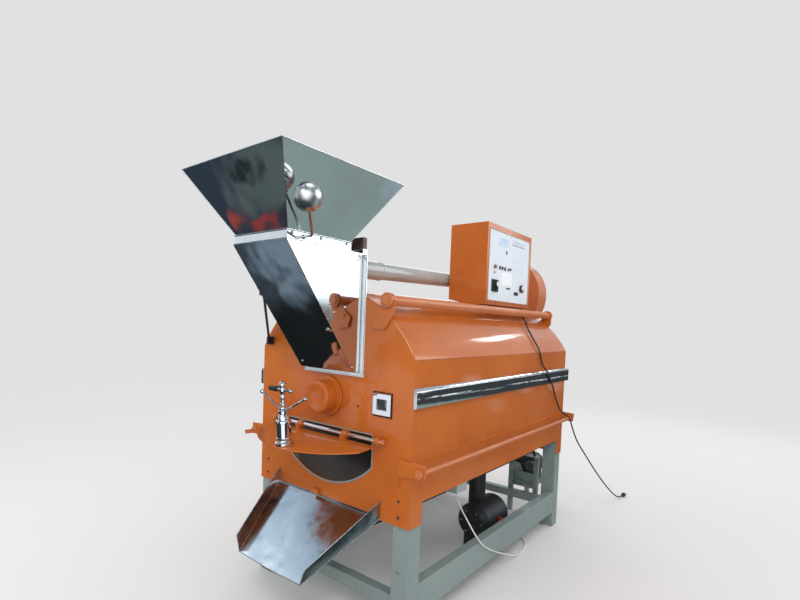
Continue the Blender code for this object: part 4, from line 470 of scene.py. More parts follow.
# Pale cap of the pilot lamp; on the main switch the same finish is a painted highlight
PALE_LAMP_AND_HIGHLIGHT = moulded("pale lamp cap and painted highlight", (0.75, 0.72, 0.66), 0.2, 900, 0.5)
DISPLAY_BLUE = moulded("blue display", (0.50, 0.61, 0.84), 0.4, 300)
DISPLAY_WHITE = moulded("white display", (0.88, 0.93, 0.98), 0.4, 300)
LABEL_GREY = moulded("bare label", (0.56, 0.63, 0.72), 0.5, 500)
MARK_GREY = moulded("grey print", (0.16, 0.17, 0.19), 0.6, 500)
FOIL = make_panel_foil()
GLASS = make_glass()


# Camera, light and floor

VIEW = {"turn": 38.46, "rise": 2.5, "roll": 2.16, "place": (1.641, -1.562, 1.346)}
PICTURE_WIDTH = 800         # in pixels, like the next two
FOCAL_LENGTH = 479.7
PICTURE_SHIFT = (3, 45)


def set_camera():
    turn, rise, roll = [radians(VIEW[label]) for label in ("turn", "rise", "roll")]
    back = Vector((sin(turn) * cos(rise), -cos(turn) * cos(rise), sin(rise)))
    right = Vector((cos(turn), sin(turn), 0))
    up = back.cross(right)
    tilted = right * cos(roll) + up * sin(roll)
    over = up * cos(roll) - right * sin(roll)
    camera = new_object("camera", bpy.data.cameras.new("camera"))
    turned = Matrix((tilted, over, back)).transposed().to_4x4()
    camera.matrix_world = shifted(at(*VIEW["place"])) @ turned
    camera.data.sensor_width = 36
    camera.data.lens = camera.data.sensor_width * FOCAL_LENGTH / PICTURE_WIDTH
    camera.data.shift_x, camera.data.shift_y = [shift / PICTURE_WIDTH for shift in PICTURE_SHIFT]
    camera.data.clip_start = 0.05
    bpy.context.scene.camera = camera


def add_light(place, aim, size, power, colour, width=None):
    lamp = bpy.data.lights.new("softbox", "AREA")
    lamp.energy = power
    lamp.size = size
    lamp.color = colour
    if width:
        lamp.shape = "RECTANGLE"
        lamp.size_y = width
    holder = new_object("softbox", lamp)
    holder.visible_glossy = False
    holder.location = at(*place)
    holder.rotation_euler = (at(*aim) - at(*place)).to_track_quat("-Z", "Y").to_euler()


RIPPLE = 0.055              # how far the hall's reflections waver


def make_surround(tree):
    """What polished steel shows: a dark hall with a dull floor, other machines and bright windows."""
    toward = tree.nodes.new("ShaderNodeTexCoord").outputs["Generated"]
    mix = Mixing(tree, toward)
    ripple = mix.add("TexNoise", {"Vector": toward, "Scale": 7.0, "Detail": 2.5})
    shift = mix.add("VectorMath", {0: ripple.outputs["Color"], 1: (RIPPLE,) * 3, 2: (-RIPPLE / 2,) * 3},
                    operation="MULTIPLY_ADD")
    bent = mix.add("VectorMath", {0: toward, 1: shift.outputs["Vector"]})
    mix.place = mix.add("VectorMath", {0: bent.outputs["Vector"]}, operation="NORMALIZE").outputs["Vector"]
    height = mix.add("SeparateXYZ", {"Vector": toward}).outputs["Z"]
    clouds = mix.spread(mix.noise(2.6, 3, 0.55), 0.40, 0.62)
    above = mix.blended(clouds, (0.06, 0.07, 0.08), (0.42, 0.45, 0.48))
    below = mix.blended(clouds, (0.018, 0.024, 0.034), (0.060, 0.078, 0.092))
    colour = mix.blended(mix.spread(height, -0.04, 0.05), below, above)
    for direction, inner, outer, shade in SURROUND:
        near = mix.add("VectorMath", {0: mix.place, 1: Vector(direction).normalized()}, operation="DOT_PRODUCT")
        inputs = {"Value": near.outputs["Value"], "From Min": cos(radians(outer)), "From Max": cos(radians(inner))}
        share = mix.add("MapRange", inputs, interpolation_type="SMOOTHSTEP").outputs["Result"]
        colour = mix.blended(share, colour, shade)
    return colour


# Patches of the surround: direction, full within, gone beyond (degrees), colour
SURROUND = (
    ((0.55, 0.68, -0.52), 21, 27, (0.32, 0.42, 0.40)),
    ((0.50, 0.76, -0.40), 1.5, 3, (0.40, 0.50, 0.60)),
    ((0.72, 0.66, -0.18), 9, 12, (0.42, 0.13, 0.075)),
    ((0.56, 0.79, -0.25), 4, 7, (0.34, 0.19, 0.16)),
    ((0.40, 0.91, -0.10), 10, 13, (0.055, 0.065, 0.072)),
    ((0.481, 0.868, -0.122), 0.5, 1.4, (1.5, 1.6, 1.7)),
    ((0.440, 0.885, -0.150), 0.4, 1.1, (0.55, 0.65, 0.62)),
    ((0.400, 0.910, -0.108), 0.3, 1.2, (1.1, 1.2, 1.3)),
    ((0.340, 0.934, -0.105), 0.4, 1.0, (0.8, 0.85, 0.9)),
    ((0.64, 0.70, 0.37), 18, 21, (2.6, 2.9, 3.1)),
    ((0.13, 0.90, 0.40), 9, 13, (0.60, 0.63, 0.66)),
    ((0.153, 0.875, 0.460), 0.5, 1.6, (2.4, 2.5, 2.6)),
    ((0.139, 0.881, 0.452), 0.7, 1.7, (8, 8.3, 8.6)),
    ((0.124, 0.888, 0.443), 0.7, 1.6, (12, 12.5, 13)),
    ((0.109, 0.895, 0.433), 0.6, 1.4, (12, 12.5, 13)),
    ((0.094, 0.901, 0.423), 0.5, 1.3, (12, 12.5, 13)),
    ((0.080, 0.907, 0.413), 0.4, 1.1, (10, 10.4, 10.8)),
    ((0.066, 0.912, 0.404), 0.3, 0.9, (4, 4.2, 4.4)),
    ((-0.84, -0.45, -0.28), 8, 12, (0.040, 0.056, 0.085)),
    ((-0.79, -0.50, -0.37), 2.6, 4.6, (0.11, 0.145, 0.145)),
    ((-0.80, -0.485, -0.335), 0.5, 1.5, (0.02, 0.026, 0.032)),
    ((-0.83, -0.415, -0.385), 0.4, 1.3, (0.42, 0.08, 0.055)),
    ((-0.80, -0.435, -0.425), 0.3, 1.1, (0.36, 0.06, 0.055)),
    ((-0.82, -0.30, -0.48), 3, 5, (0.055, 0.075, 0.10)),
    ((-0.78, -0.31, -0.54), 2, 3.6, (0.22, 0.30, 0.38)),
    ((-0.77, -0.25, -0.59), 1.6, 3.0, (0.20, 0.27, 0.34)),
    ((-0.75, -0.14, -0.65), 5, 8, (0.014, 0.017, 0.018)),
    ((-0.690, -0.722, 0.07), 6, 8, (0.90, 0.97, 1.05)),
    ((-0.715, -0.690, -0.08), 4, 5.5, (0.70, 0.76, 0.82)),
    ((-0.635, -0.755, -0.165), 4, 5.5, (0.95, 1.02, 1.10)),
    ((-0.800, -0.578, 0.16), 6, 8, (0.95, 1.02, 1.10)),
    ((0.62, -0.78, 0.06), 26, 38, (1.6, 1.7, 1.75)),
    ((-0.70, -0.19, 0.69), 11, 16, (0.70, 0.92, 1.12)),
    ((-0.64, -0.10, 0.76), 3.5, 5.5, (0.06, 0.09, 0.13)),
    ((-0.745, -0.25, 0.62), 2.0, 5.0, (2.6, 2.8, 3.0)),
    ((0.10, -0.90, 0.45), 13, 18, (1.5, 1.6, 1.7)),
    ((-0.95, 0.20, 0.25), 14, 20, (1.3, 1.4, 1.5)),
    ((-0.42, 0.87, 0.28), 14, 19, (1.5, 1.6, 1.7)),
    ((0.90, -0.35, 0.25), 10, 15, (1.1, 1.2, 1.3)),
    ((0.10, 0.10, 1.00), 14, 22, (1.6, 1.7, 1.8)),
)


def set_studio():
    """Pale floor and wall, soft light, and a hall that only gloss reflects."""
    bpy.ops.object.select_all(action="DESELECT")
    bpy.ops.mesh.primitive_plane_add(size=120, location=(0, 0, -0.0005))
    floor = bpy.context.active_object
    floor.name = "floor"
    floor.visible_glossy = False
    finish, mix = new_finish("pale floor")
    mottle = mix.spread(mix.noise(0.8, 3, 0.5), 0.3, 0.7)
    mix.give("Base Color", mix.blended(mottle, (0.800, 0.792, 0.780), (0.808, 0.800, 0.788)))
    mix.give("Roughness", 1.0)
    mix.give("Specular IOR Level", 0.0)
    floor.data.materials.append(finish)
    scene = bpy.context.scene
    scene.view_settings.view_transform = "Standard"
    scene.world = bpy.data.worlds.new("studio")
    scene.world.use_nodes = True
    tree = scene.world.node_tree
    mix = Mixing(tree, None)
    wall = tree.nodes["Background"]
    mix.fill(wall, "Color", (0.753, 0.753, 0.760, 1))
    hall = mix.add("Background", {"Color": make_surround(tree)})
    soft = mix.add("Background", {"Color": (0.93, 0.94, 0.96, 1)})
    rays = mix.add("LightPath", {})
    gloss = mix.add("MixShader", {"Fac": rays.outputs["Is Glossy Ray"], 1: soft.outputs["Background"],
                                  2: hall.outputs["Background"]})
    seen = mix.add("MixShader", {"Fac": rays.outputs["Is Camera Ray"], 1: gloss.outputs["Shader"],
                                 2: wall.outputs["Background"]})
    mix.fill(tree.nodes["World Output"], "Surface", seen.outputs["Shader"])
    add_light((1.3, 6.4, 3.6), (0.43, 0.9, 1.28), 2.4, 26, (1, 0.99, 0.98), 0.10)
    add_light((2.4, -2.6, 3.4), (0, 0.4, 1.0), 1.4, 45, (1, 0.985, 0.96), 0.9)
    add_light((-2.6, -2.4, 2.6), (0, 0.2, 1.0), 1.6, 14, (0.97, 0.98, 1))


# Cords: the routes of the source, repeated

MAINS_ROUTE = [
    (0.285, 1.450, 1.4574), (0.285, 1.450, 1.444), (0.300, 1.432, 1.430), (0.355, 1.365, 1.4025),
    (0.407, 1.305, 1.347), (0.4735, 1.270, 1.266), (0.5005, 1.270, 1.222), (0.5085, 1.285, 1.172),
    (0.5120, 1.315, 1.125), (0.5225, 1.348, 1.092), (0.5215, 1.420, 1.030), (0.5215, 1.475, 0.980),
    (0.514, 1.570, 0.885), (0.524, 1.640, 0.805), (0.568, 1.674, 0.765), (0.576, 1.692, 0.730),
    (0.582, 1.735, 0.665), (0.588, 1.820, 0.575), (0.602, 1.910, 0.495), (0.628, 2.145, 0.308),
    (0.660, 2.350, 0.150), (0.690, 2.500, 0.048), (0.705, 2.590, 0.0165), (0.712, 2.640, 0.0165)]
CABLE_ROUTE = [
    (0.360, 0.609, 0.4822), (0.360, 0.609, 0.458), (0.361, 0.609, 0.440), (0.397, 0.592, 0.400),
    (0.446, 0.580, 0.350), (0.492, 0.588, 0.285), (0.5085, 0.648, 0.217), (0.5095, 0.775, 0.143),
    (0.509, 0.905, 0.082), (0.506, 1.040, 0.024), (0.501, 1.135, 0.0045), (0.490, 1.220, 0.0045),
    (0.460, 1.292, 0.0045), (0.410, 1.338, 0.0060), (0.355, 1.345, 0.0280), (0.312, 1.315, 0.0830),
    (0.293, 1.270, 0.1270), (0.290, 1.232, 0.1400), (0.290, 1.2003, 0.1400)]


def even_places(points, count):
    """Places at an even step along a run of points, and the step. The run's end is the last place."""
    runs = [0.0]
    for start, end in zip(points, points[1:]):
        runs.append(runs[-1] + (end - start).length)
    places = []
    index = 0
    for number in range(count + 1):
        target = runs[-1] * number / count
        while index < len(runs) - 2 and runs[index + 1] < target:
            index += 1
        share = (target - runs[index]) / (runs[index + 1] - runs[index])
        places.append(points[index].lerp(points[index + 1], share))
    return places, runs[-1] / count


def length_of(points):
    return sum((end - start).length for start, end in zip(points, points[1:]))


def smooth_route(route, step):
    """Points at an even step along a smooth curve through the route, its end legs kept straight."""
    knots = [Vector(point) for point in route]
    fine = [knots[1]]
    for before, start, end, after in zip(knots, knots[1:], knots[2:], knots[3:]):
        for part in range(1, 21):
            t = part / 20
            fine.append(0.5 * (2 * start + (end - before) * t + (2 * before - 5 * start + 4 * end - after) * t ** 2
                               + (3 * start - before - 3 * end + after) * t ** 3))
    places, _ = even_places(fine, max(2, round(length_of(fine) / step)))
    return [at(*place) for place in (knots[0], *places, knots[-1])]


def lay_cord(name, route, step, radius, finish, node):
    """A cord along its route, as a curve."""
    points = smooth_route(route, step)
    cord = finished(round_line(name, points, radius, 5), name, finish, node=node)
    return cord, points, round(length_of(points), 3)


def make_plug(end, before):
    """Moulded plug with two round pins, lying where the cord ends."""
    run = end - before
    run.z = 0
    run.normalize()
    start = end + run * 0.0003
    body = lathed([(0.0062, 0.0), (0.0075, 0.004), (0.0095, 0.010), (0.0148, 0.014), (0.0158, 0.018), (0.0158, 0.038),
                   (0.0140, 0.043), (0.0128, 0.045)], start, run, 32, 0.0006)
    finished(body, "plug_body", BLACK, node="mains_plug")
    across = Vector((-run.y, run.x, 0)) * 0.0095
    pins = [lathed([(0.0024, 0), (0.0024, 0.0175), (0.0018, 0.0195), (0.0009, 0.0200)],
                   start + shift + run * 0.044, run, 20) for shift in (across, -across)]
    return [body, finished(joined(pins), "plug_pins", CHROME)]


def make_gland():
    """Cable gland with its nut and the ribbed, tapered sleeve that the mains cord leaves by."""
    route = smooth_route(MAINS_ROUTE, 0.0015)
    places = route[1:2] + route[3:24]
    sleeve = round_line("sleeve", places, 0.001, 6)
    for number, knot in enumerate(sleeve.data.splines[0].points):
        knot.radius = 7.4 - 1.9 * number / len(places) - (0.55 if number % 4 in (2, 3) else 0)
    finished(smoothed(meshed(sleeve), 60), "mains_sleeve", RUBBER)
    top, down = at(0.285, 1.450, 1.4797), (0, 0, -1)
    nut = lathed([(0.0135, 0), (0.0135, 0.0075), (0.0125, 0.0085)], top, down, 6, 0.0005)
    dome = lathed([(0.0118, 0.008), (0.0118, 0.012), (0.0108, 0.016), (0.0082, 0.0195), (0.0072, 0.0205)],
                  top, down, 32, 0.0004)
    finished(joined([nut, dome]), "gland_nut", BLACK, node="mains_gland")


def make_cords():
    mains, points, length = lay_cord("mains_lead", MAINS_ROUTE, 0.0145, 0.0045, RUBBER, "mains_cord")
    plug = make_plug(points[-1].copy(), points[-2].copy())
    cable, points, length = lay_cord("burner_lead", CABLE_ROUTE, 0.010, 0.0035, WHITE_SHEATH, "burner_cable")
    make_gland()


# Stand

def make_stand():
    for leg in ("front_right", "front_left", "rear_right", "rear_left"):
        dressed("leg_" + leg, GREY, 0.006, 3)
    for rail in ("right", "left", "front", "rear"):
        dressed("rail_" + rail, GREY, 0.004, 3)
    dressed("motor_stand", GREY, 0.0008)
    beads = []
    for side in (1, -1):
        for leg_face in (0.0886, 1.6564):
            corners = [(side * x, leg_face, z) for x, z in ((0.4467, 0.100), (0.4967, 0.100), (0.4967, 0.240),
                                                            (0.4467, 0.240))]
            beads.append(beaded(corners, 0.0028, 3, True))
        for low, high, edge, depth in ((0.130, 0.190, 0.010, 0.058), (0.120, 0.170, 1.687, 1.7367)):
            corners = [(side * 0.4065, y, z) for y, z in ((edge, low), (depth, low), (depth, high), (edge, high))]
            beads.append(beaded(corners, 0.0025, 3, True))
    finished(joined(beads), "stand_weld_beads", GREY)


# Casing, hood and trim

def make_casing():
    for side in ("right", "left"):
        dressed("casing_" + side, ORANGE, 0.0009)
    for part in ("right", "left", "cover"):
        dressed("hood_" + part, ORANGE, 0.0006, 2, 60, 60)
    make_hood_bolts()
    make_trim()


def make_hood_bolts():
    """Cap screws along both edges of the top cover."""
    places = []
    for x in (0.338, -0.338):
        rise = (COVER_RADIUS ** 2 - x ** 2) ** 0.5
        outward = Vector((x, 0, rise)).normalized()
        places += [(at(x, 0.06 + step * 0.232, HOOD_Z) + Vector((0, 0, rise)) - outward * 0.0003, outward)
                   for step in range(8)]
    fasteners("cover_screws", hex_head(0.010, 0.006), places, ORANGE_DULL)


def make_trim():
    """Bright strips along the casing: a folded channel with a sloping upper lip and end caps."""
    inner, outer, length = 0.5003, 0.516, 1.779
    outline = [(inner, 1.002), (outer - 0.004, 1.002), (outer, 1.006), (outer, 1.074), (inner + 0.003, 1.087),
               (inner, 1.087)]
    for label, side in (("right", 1), ("left", -1)):
        turn = Matrix(((side, 0, 0, 0), (0, 0, 1, 0), (0, 1, 0, 0), (0, 0, 0, 1)))
        strip = plate(outline, length, shifted(at(0, -0.004 + length / 2, 0)) @ turn, 0.0012, 2)
        reshaped(strip, bpy.ops.mesh.normals_make_consistent, inside=False)
        finished(strip, f"trim_strip_{label}", STRIP_STEEL, node=f"trim_{label}")


# End plates, bearings, window and tie rods

def make_end_plates():
    front = copy_of("front_plate")
    choose(front)
    roll_outer_edge(front)
    rounded(front, 0.0008, 2, 40)
    finished(front, "front_plate_skin", ORANGE, node="front_plate")
    dressed("rear_plate", ORANGE, 0.0009)
    make_rim_bead()
    make_bolts()
    make_bearings()
    make_window()
    make_tie_rods()


def choose_outer_edge(mesh):
    """Selects the edges round the outline of the front plate's face."""
    for edge in mesh.edges:
        ends = [mesh.vertices[index].co for index in edge.vertices]
        on_face = all(abs(end.y - FRONT) < 0.0002 for end in ends)
        edge.select = on_face and all(abs(end.x) > 0.4995 or hypot(end.x, end.z - HOOD_Z) > 0.5655 or end.z < 0.5005
                                      for end in ends)


def roll_outer_edge(piece):
    """Rounds the plate's outer edge, where it was ground after welding."""
    bpy.ops.object.mode_set(mode="EDIT")
    bpy.ops.mesh.select_mode(type="EDGE")
    bpy.ops.object.mode_set(mode="OBJECT")
    choose_outer_edge(piece.data)
    bpy.ops.object.mode_set(mode="EDIT")
    bpy.ops.mesh.bevel(offset=0.004, segments=4, affect="EDGES", clamp_overlap=True)
    bpy.ops.object.mode_set(mode="OBJECT")


def arc_points(centre, radius, start, end, steps):
    turns = [start + (end - start) * step / steps for step in range(steps + 1)]
    return [(centre[0] + radius * cos(turn), centre[1] + radius * sin(turn)) for turn in turns]


def make_rim_bead():
    """The bare ground rim round the discharge opening, flat enough for the shut door, and a painted highlight above:
    a pale line along part of the front plate's rounded edge.
    """
    half, radius, middle = 0.2870, 0.4040, -0.0026
    corner = pi / 2 - acos(half / radius)
    low = arc_points((0, DRUM_Z), radius, -pi / 2 - corner, -pi / 2 + corner, 48)
    bead = beaded([(x, middle, z) for x, z in ((-half, 0.861), *low, (half, 0.861))], 0.0046, 4, True)
    reshaped(bead, bpy.ops.transform.resize, value=(1, 0.17, 1), center_override=at(0, middle, DRUM_Z))
    finished(bead, "discharge_rim_bead", GREY)
    # Painted highlight: a pale line over only the part of the plate's right edge arc where light catches it
    arc = arc_points((0, HOOD_Z), 0.5655, radians(31), radians(47), 24)
    finished(beaded([(x, -0.0004, z) for x, z in arc], 0.0015), "front_edge_highlight", PALE_EDGE_AND_HIGHLIGHT)


def make_bolts():
    """Bolts on the end plates: ear bolts, corner bolts and the small one beside the bearing."""
    large, small, dark = [], [], []
    for side in (1, -1):
        small.append((at(side * 0.299, -0.010, 1.378), FORWARD))
        large.append((at(side * 0.299, REAR + 0.010, 1.378), BACKWARD))
        large.append((at(side * 0.440, 0, 0.685), FORWARD))
        large += [(at(side * 0.440, REAR, height), BACKWARD) for height in (0.685, 0.607, 0.538)]
        dark += [(at(side * 0.440, 0, height), FORWARD) for height in (0.607, 0.538)]
    fasteners("plate_bolts", hex_head(0.015, 0.009), large, ORANGE)
    fasteners("ear_bolts", hex_head(0.011, 0.006), small, ORANGE_DULL)
    fasteners("dark_plate_bolts", hex_head(0.010, 0.005), dark, CAP_BROWN)
    fasteners("small_plate_bolt", hex_head(0.008, 0.005), [(at(0.192, 0, 0.974), FORWARD)], CAP_BROWN)


def make_bearings():
    boss = lathed([(0.0945, 0.0003), (0.095, 0.001), (0.095, 0.0105), (0.0935, 0.012), (0.0765, 0.012),
                   (0.075, 0.0135), (0.075, 0.0715), (0.0725, 0.0755), (0.0685, 0.0775), (0.052, 0.0775),
                   (0.050, 0.0765), (0.020, 0.0765)], at(0, 0, DRUM_Z), FORWARD, 72)
    finished(boss, "front_bearing_boss", ORANGE, node="bearing_front")
    dressed("bearing_rear", GREY, 0.001, 2, 35, 40)
    places = [(at(0.078 * cos(turn), REAR + 0.012, DRUM_Z + 0.078 * sin(turn)), BACKWARD)
              for turn in round_turns(4, tau / 8)]
    fasteners("rear_bearing_bolts", hex_head(0.014, 0.009), places, ZINC)


def make_window():
    dressed("window_frame", CHROME, 0.0016, 3)
    for half, back, thick, name, finish in ((0.0520, -0.0016, 0.0028, "window_outer_line", SOOT),
                                            (0.0215, -0.0088, 0.0012, "window_inner_ring", CHROME)):
        square = [(0.335 + dx * half, back, DRUM_Z + dz * half) for dx, dz in CORNERS]
        finished(beaded(square, thick, 3, True), name, finish)
    glass = frame["nodes"]["window_glass"].data.materials
    glass.clear()
    glass.append(GLASS)


def make_tie_rods():
    start = -0.0103
    length = REAR - 2 * start
    for label, side in (("right", 1), ("left", -1)):
        for level, x, z, radius, nut in (("upper", 0.352, 1.445, 0.023, 0.032),
                                         ("lower", 0.550, 0.747, 0.0115, 0.018)):
            end = radius - 0.002
            profile = [(end * 0.8, -0.020), (end, -0.0185), (end, -0.014), (nut * 0.94, -0.014), (nut, -0.0125),
                       (nut, -0.0015), (nut * 0.94, 0), (radius, 0), (radius, length), (nut * 0.94, length),
                       (nut, length + 0.0015), (nut, length + 0.0125), (nut * 0.94, length + 0.014),
                       (end, length + 0.014), (end, length + 0.0185), (end * 0.8, length + 0.020)]
            node = f"tie_rod_{level}_{label}"
            rod = lathed(profile, at(side * x, start, z), BACKWARD)
            finished(rod, node + "_skin", ORANGE_DULL, node=node)


# Feed side: hopper, collar, flap, chute

def make_feed():
    dressed("hopper", MIRROR, 0.0006)
    rim = [(HOPPER_X + dx * 0.3225, HOPPER_Y + dy * 0.3225, 1.9415) for dx, dy in CORNERS]
    seams = [beaded(rim, 0.0022, 4, True)]
    for dx, dy in CORNERS:
        seams.append(beaded([(HOPPER_X + dx * out, HOPPER_Y + dy * out, z)
                             for out, z in ((0.168, 1.688), (0.3225, 1.940))], 0.0013))
    finished(joined(seams), "hopper_hem_and_seams", SATIN_STEEL)
    dressed("hopper_collar", MIRROR, 0.0008)
    dressed("feed_chute", MIRROR, 0.0008)
    dressed("feed_flap", TRAY_STEEL, 0.0006)
    dressed("chute_stay", SOOT, 0.0015)
    make_collar_bands()
    make_chute_flange()
    make_lever()


def make_collar_bands():
    """Folded lips above and below the collar and the bolts through its sides."""
    corners = ((-0.1445, -0.4215), (0.1945, -0.4215), (0.1945, -0.0765), (-0.1445, -0.0765))
    bands = [beaded([(x, y, height) for x, y in corners], 0.0026, 3, True) for height in (1.6505, 1.6845)]
    finished(joined(bands), "collar_lips", MIRROR_SEAM)
    places = []
    for y_place in (-0.395, HOPPER_Y, -0.105):
        places.append((at(0.193, y_place, 1.6755), RIGHT))
        places.append((at(-0.143, y_place, 1.6755), LEFT))
    fasteners("collar_bolts", hex_head(0.010, 0.006), places, ZINC)


def make_chute_flange():
    """Angle welded round the chute's mouth, its bright folded edge and top gusset, and the chute's rivets."""
    left, right = -0.1472, 0.1972
    outline = [(-0.169, 1.105), (0.220, 1.105), (0.220, 1.644), (right, 1.644), (right, 1.1288), (left, 1.1288),
               (left, 1.644), (-0.169, 1.644)]
    flange = plate(outline, 0.003, shifted(at(0, -0.0018, 0)) @ Matrix.Rotation(pi / 2, 4, "X"), 0.0008)
    finished(flange, "chute_flange", CHROME)
    edges = [block((x - 0.0075, -0.0068, 1.1165), (x + 0.0075, -0.0034, 1.640), 0.0016, 3) for x in (-0.158, 0.2085)]
    edges.append(block((-0.158, -0.0066, 1.109), (0.2085, -0.0034, 1.1235), 0.0016, 3))
    finished(joined(edges), "flange_lip", MIRROR)
    weld = [(x, -0.0045, z) for x, z in ((right, 1.640), (right, 1.1275), (left, 1.1275), (left, 1.640))]
    finished(beaded(weld, 0.0018), "chute_weld", MIRROR_SEAM)
    turn = Matrix(((0, 0, 1, 0), (1, 0, 0, 0), (0, 1, 0, 0), (0, 0, 0, 1)))
    gusset = plate([(0.0, 0.0), (0.030, 0.034), (0.0, 0.034)], 0.0025, shifted(at(0.1985, -0.0355, 1.610)) @ turn)
    finished(gusset, "flange_gusset", MIRROR_SEAM)
    side = [(at(0.197, y, z), RIGHT) for y, z in ((-0.198, 1.417), (-0.171, 1.384), (-0.052, 1.150))]
    fasteners("chute_rivets", round_head(0.0055), side, CHROME)
    fasteners("chute_foot_rivet", round_head(0.0065), [(at(-0.115, -0.0655, 1.156), (0, -0.8056, -0.5925))], CHROME)
    seams = [beaded([(x, -0.425, 1.648), (x, -0.044, 1.130)], 0.0012) for x in (-0.147, 0.197)]
    finished(joined(seams), "chute_seams", MIRROR_SEAM)


def make_lever():
    """Flap shaft with its collar, bent arm and polished ball."""
    start, bend, ball = at(-0.153, FLAP_Y, FLAP_Z), at(0.240, FLAP_Y, FLAP_Z), at(0.350, -0.4585, 1.770)
    run = (ball - bend).normalized()
    first, last = bend - Vector((0.014, 0, 0)), bend + run * 0.014
    arm = [start]
    for part in range(7):
        t = part / 6
        arm.append(first * (1 - t) ** 2 + bend * 2 * t * (1 - t) + last * t ** 2)
    lever = [piped([*arm, ball], 0.005, 6),
             lathed([(0.009, 0), (0.009, 0.008), (0.008, 0.009)], at(0.1935, FLAP_Y, FLAP_Z), RIGHT, 28, 0.0004),
             lathed([(0.009, 0), (0.009, 0.006), (0.008, 0.007)], at(-0.1435, FLAP_Y, FLAP_Z), LEFT, 28, 0.0004),
             lathed([(0.0075, 0), (0.010, 0.004), (0.0105, 0.012)], ball - run * 0.060, run, 28)]
    knob = lathed(ball_profile(0.051, 40, 0.0006), ball, run, 64)
    finished(joined(lever), "flap_lever_skin", CHROME, "flap", node="flap_lever")
    finished(knob, "lever_ball", SATIN_STEEL, "flap", node="flap_lever")


# Exhaust side: riser, pipe, fan

def make_exhaust():
    dressed("riser", MIRROR, 0.0008)
    finished(block((-0.0992, 0.0091, 1.6726), (0.1812, 0.0352, 1.7246), 0.003, 3), "riser_cap", CAP_BROWN)
    dressed("exhaust_pipe", PIPE_GREY, 0.0005, 2, 60, 40)
    start, end = at(0, 0.029, 1.6067), at(0, 1.807, FAN_Z)
    bands = []
    for y_place, wide in ((0.0425, 0.0455), (0.0560, 0.0475), (0.3270, 0.0475), (1.786, 0.0455)):
        middle = start.lerp(end, (y_place + FRONT - start.y) / (end.y - start.y))
        bands.append(lathed([(wide - 0.002, -0.006), (wide, -0.005), (wide, 0.005), (wide - 0.002, 0.006)],
                            middle, (end - start).normalized(), 48))
    finished(joined(bands), "pipe_bands", PIPE_GREY)


def make_fan():
    dressed("fan_housing", ORANGE_DULL, 0.0012, 2, 45, 60)
    dressed("fan_impeller", SHAFT_STEEL, 0.0004)
    axis = at(0, 0, FAN_Z)
    places = []
    for turn in round_turns(9, 0.2):
        for y_place, outward in ((1.940, BACKWARD), (1.800, FORWARD)):
            places.append((at(0.150 * cos(turn), y_place, FAN_Z + 0.150 * sin(turn)), outward))
    fasteners("fan_bolts", hex_head(0.011, 0.007), places, ZINC)
    barrel = lathed([(0.008, 1.864), (0.008, 1.9405), (0.078, 1.9405), (0.078, 1.956), (0.068, 1.962), (0.068, 2.095),
                     (0.078, 2.100), (0.080, 2.104), (0.080, 2.118), (0.076, 2.1215), (0.070, 2.122),
                     (0.070, 2.134), (0.065, 2.1395), (0.030, 2.140)], axis, BACKWARD, 72)
    flange = lathed([(0.094, 1.9405), (0.095, 1.9415), (0.095, 1.9485), (0.093, 1.950)], axis, BACKWARD, 64)
    rib = set_down(block((-0.001, 1.962, 1.722), (0.001, 2.097, 1.7345), 0.0003), shifted(-axis))
    ribs = placed_copies(rib, [shifted(axis) @ Matrix.Rotation(turn, 4, "Y") for turn in round_turns(36)])
    finished(joined([barrel, flange, *ribs]), "fan_motor_skin", CAP_GREY, node="fan_motor")
    finished(block((-0.045, 1.985, 1.728), (0.045, 2.065, 1.7655), 0.004, 3), "fan_terminal_box", CAP_GREY)
    hoops = [piped([axis + Vector((ring * cos(turn), 2.1402, ring * sin(turn))) for turn in round_turns(40)],
                   0.0016, 2, True) for ring in (0.022, 0.036, 0.050)]
    finished(joined(hoops), "fan_cowl_rings", SOOT)


# Discharge door, hinge and clamp

def make_door():
    dressed("discharge_door", ORANGE)
    rod = lathed([(0.0075, 0), (0.009, 0.0015), (0.009, 0.7085), (0.0075, 0.710)], at(-0.355, *HINGE), RIGHT, 36)
    balls = [lathed(ball_profile(0.012, 16, 0.0004), at(side * 0.3653, *HINGE), (side, 0, 0), 36) for side in (1, -1)]
    finished(rod, "hinge_rod_skin", CHROME, node="hinge_rod")
    finished(joined(balls), "hinge_rod_balls", ORANGE_DULL, node="hinge_rod")
    make_clamp()


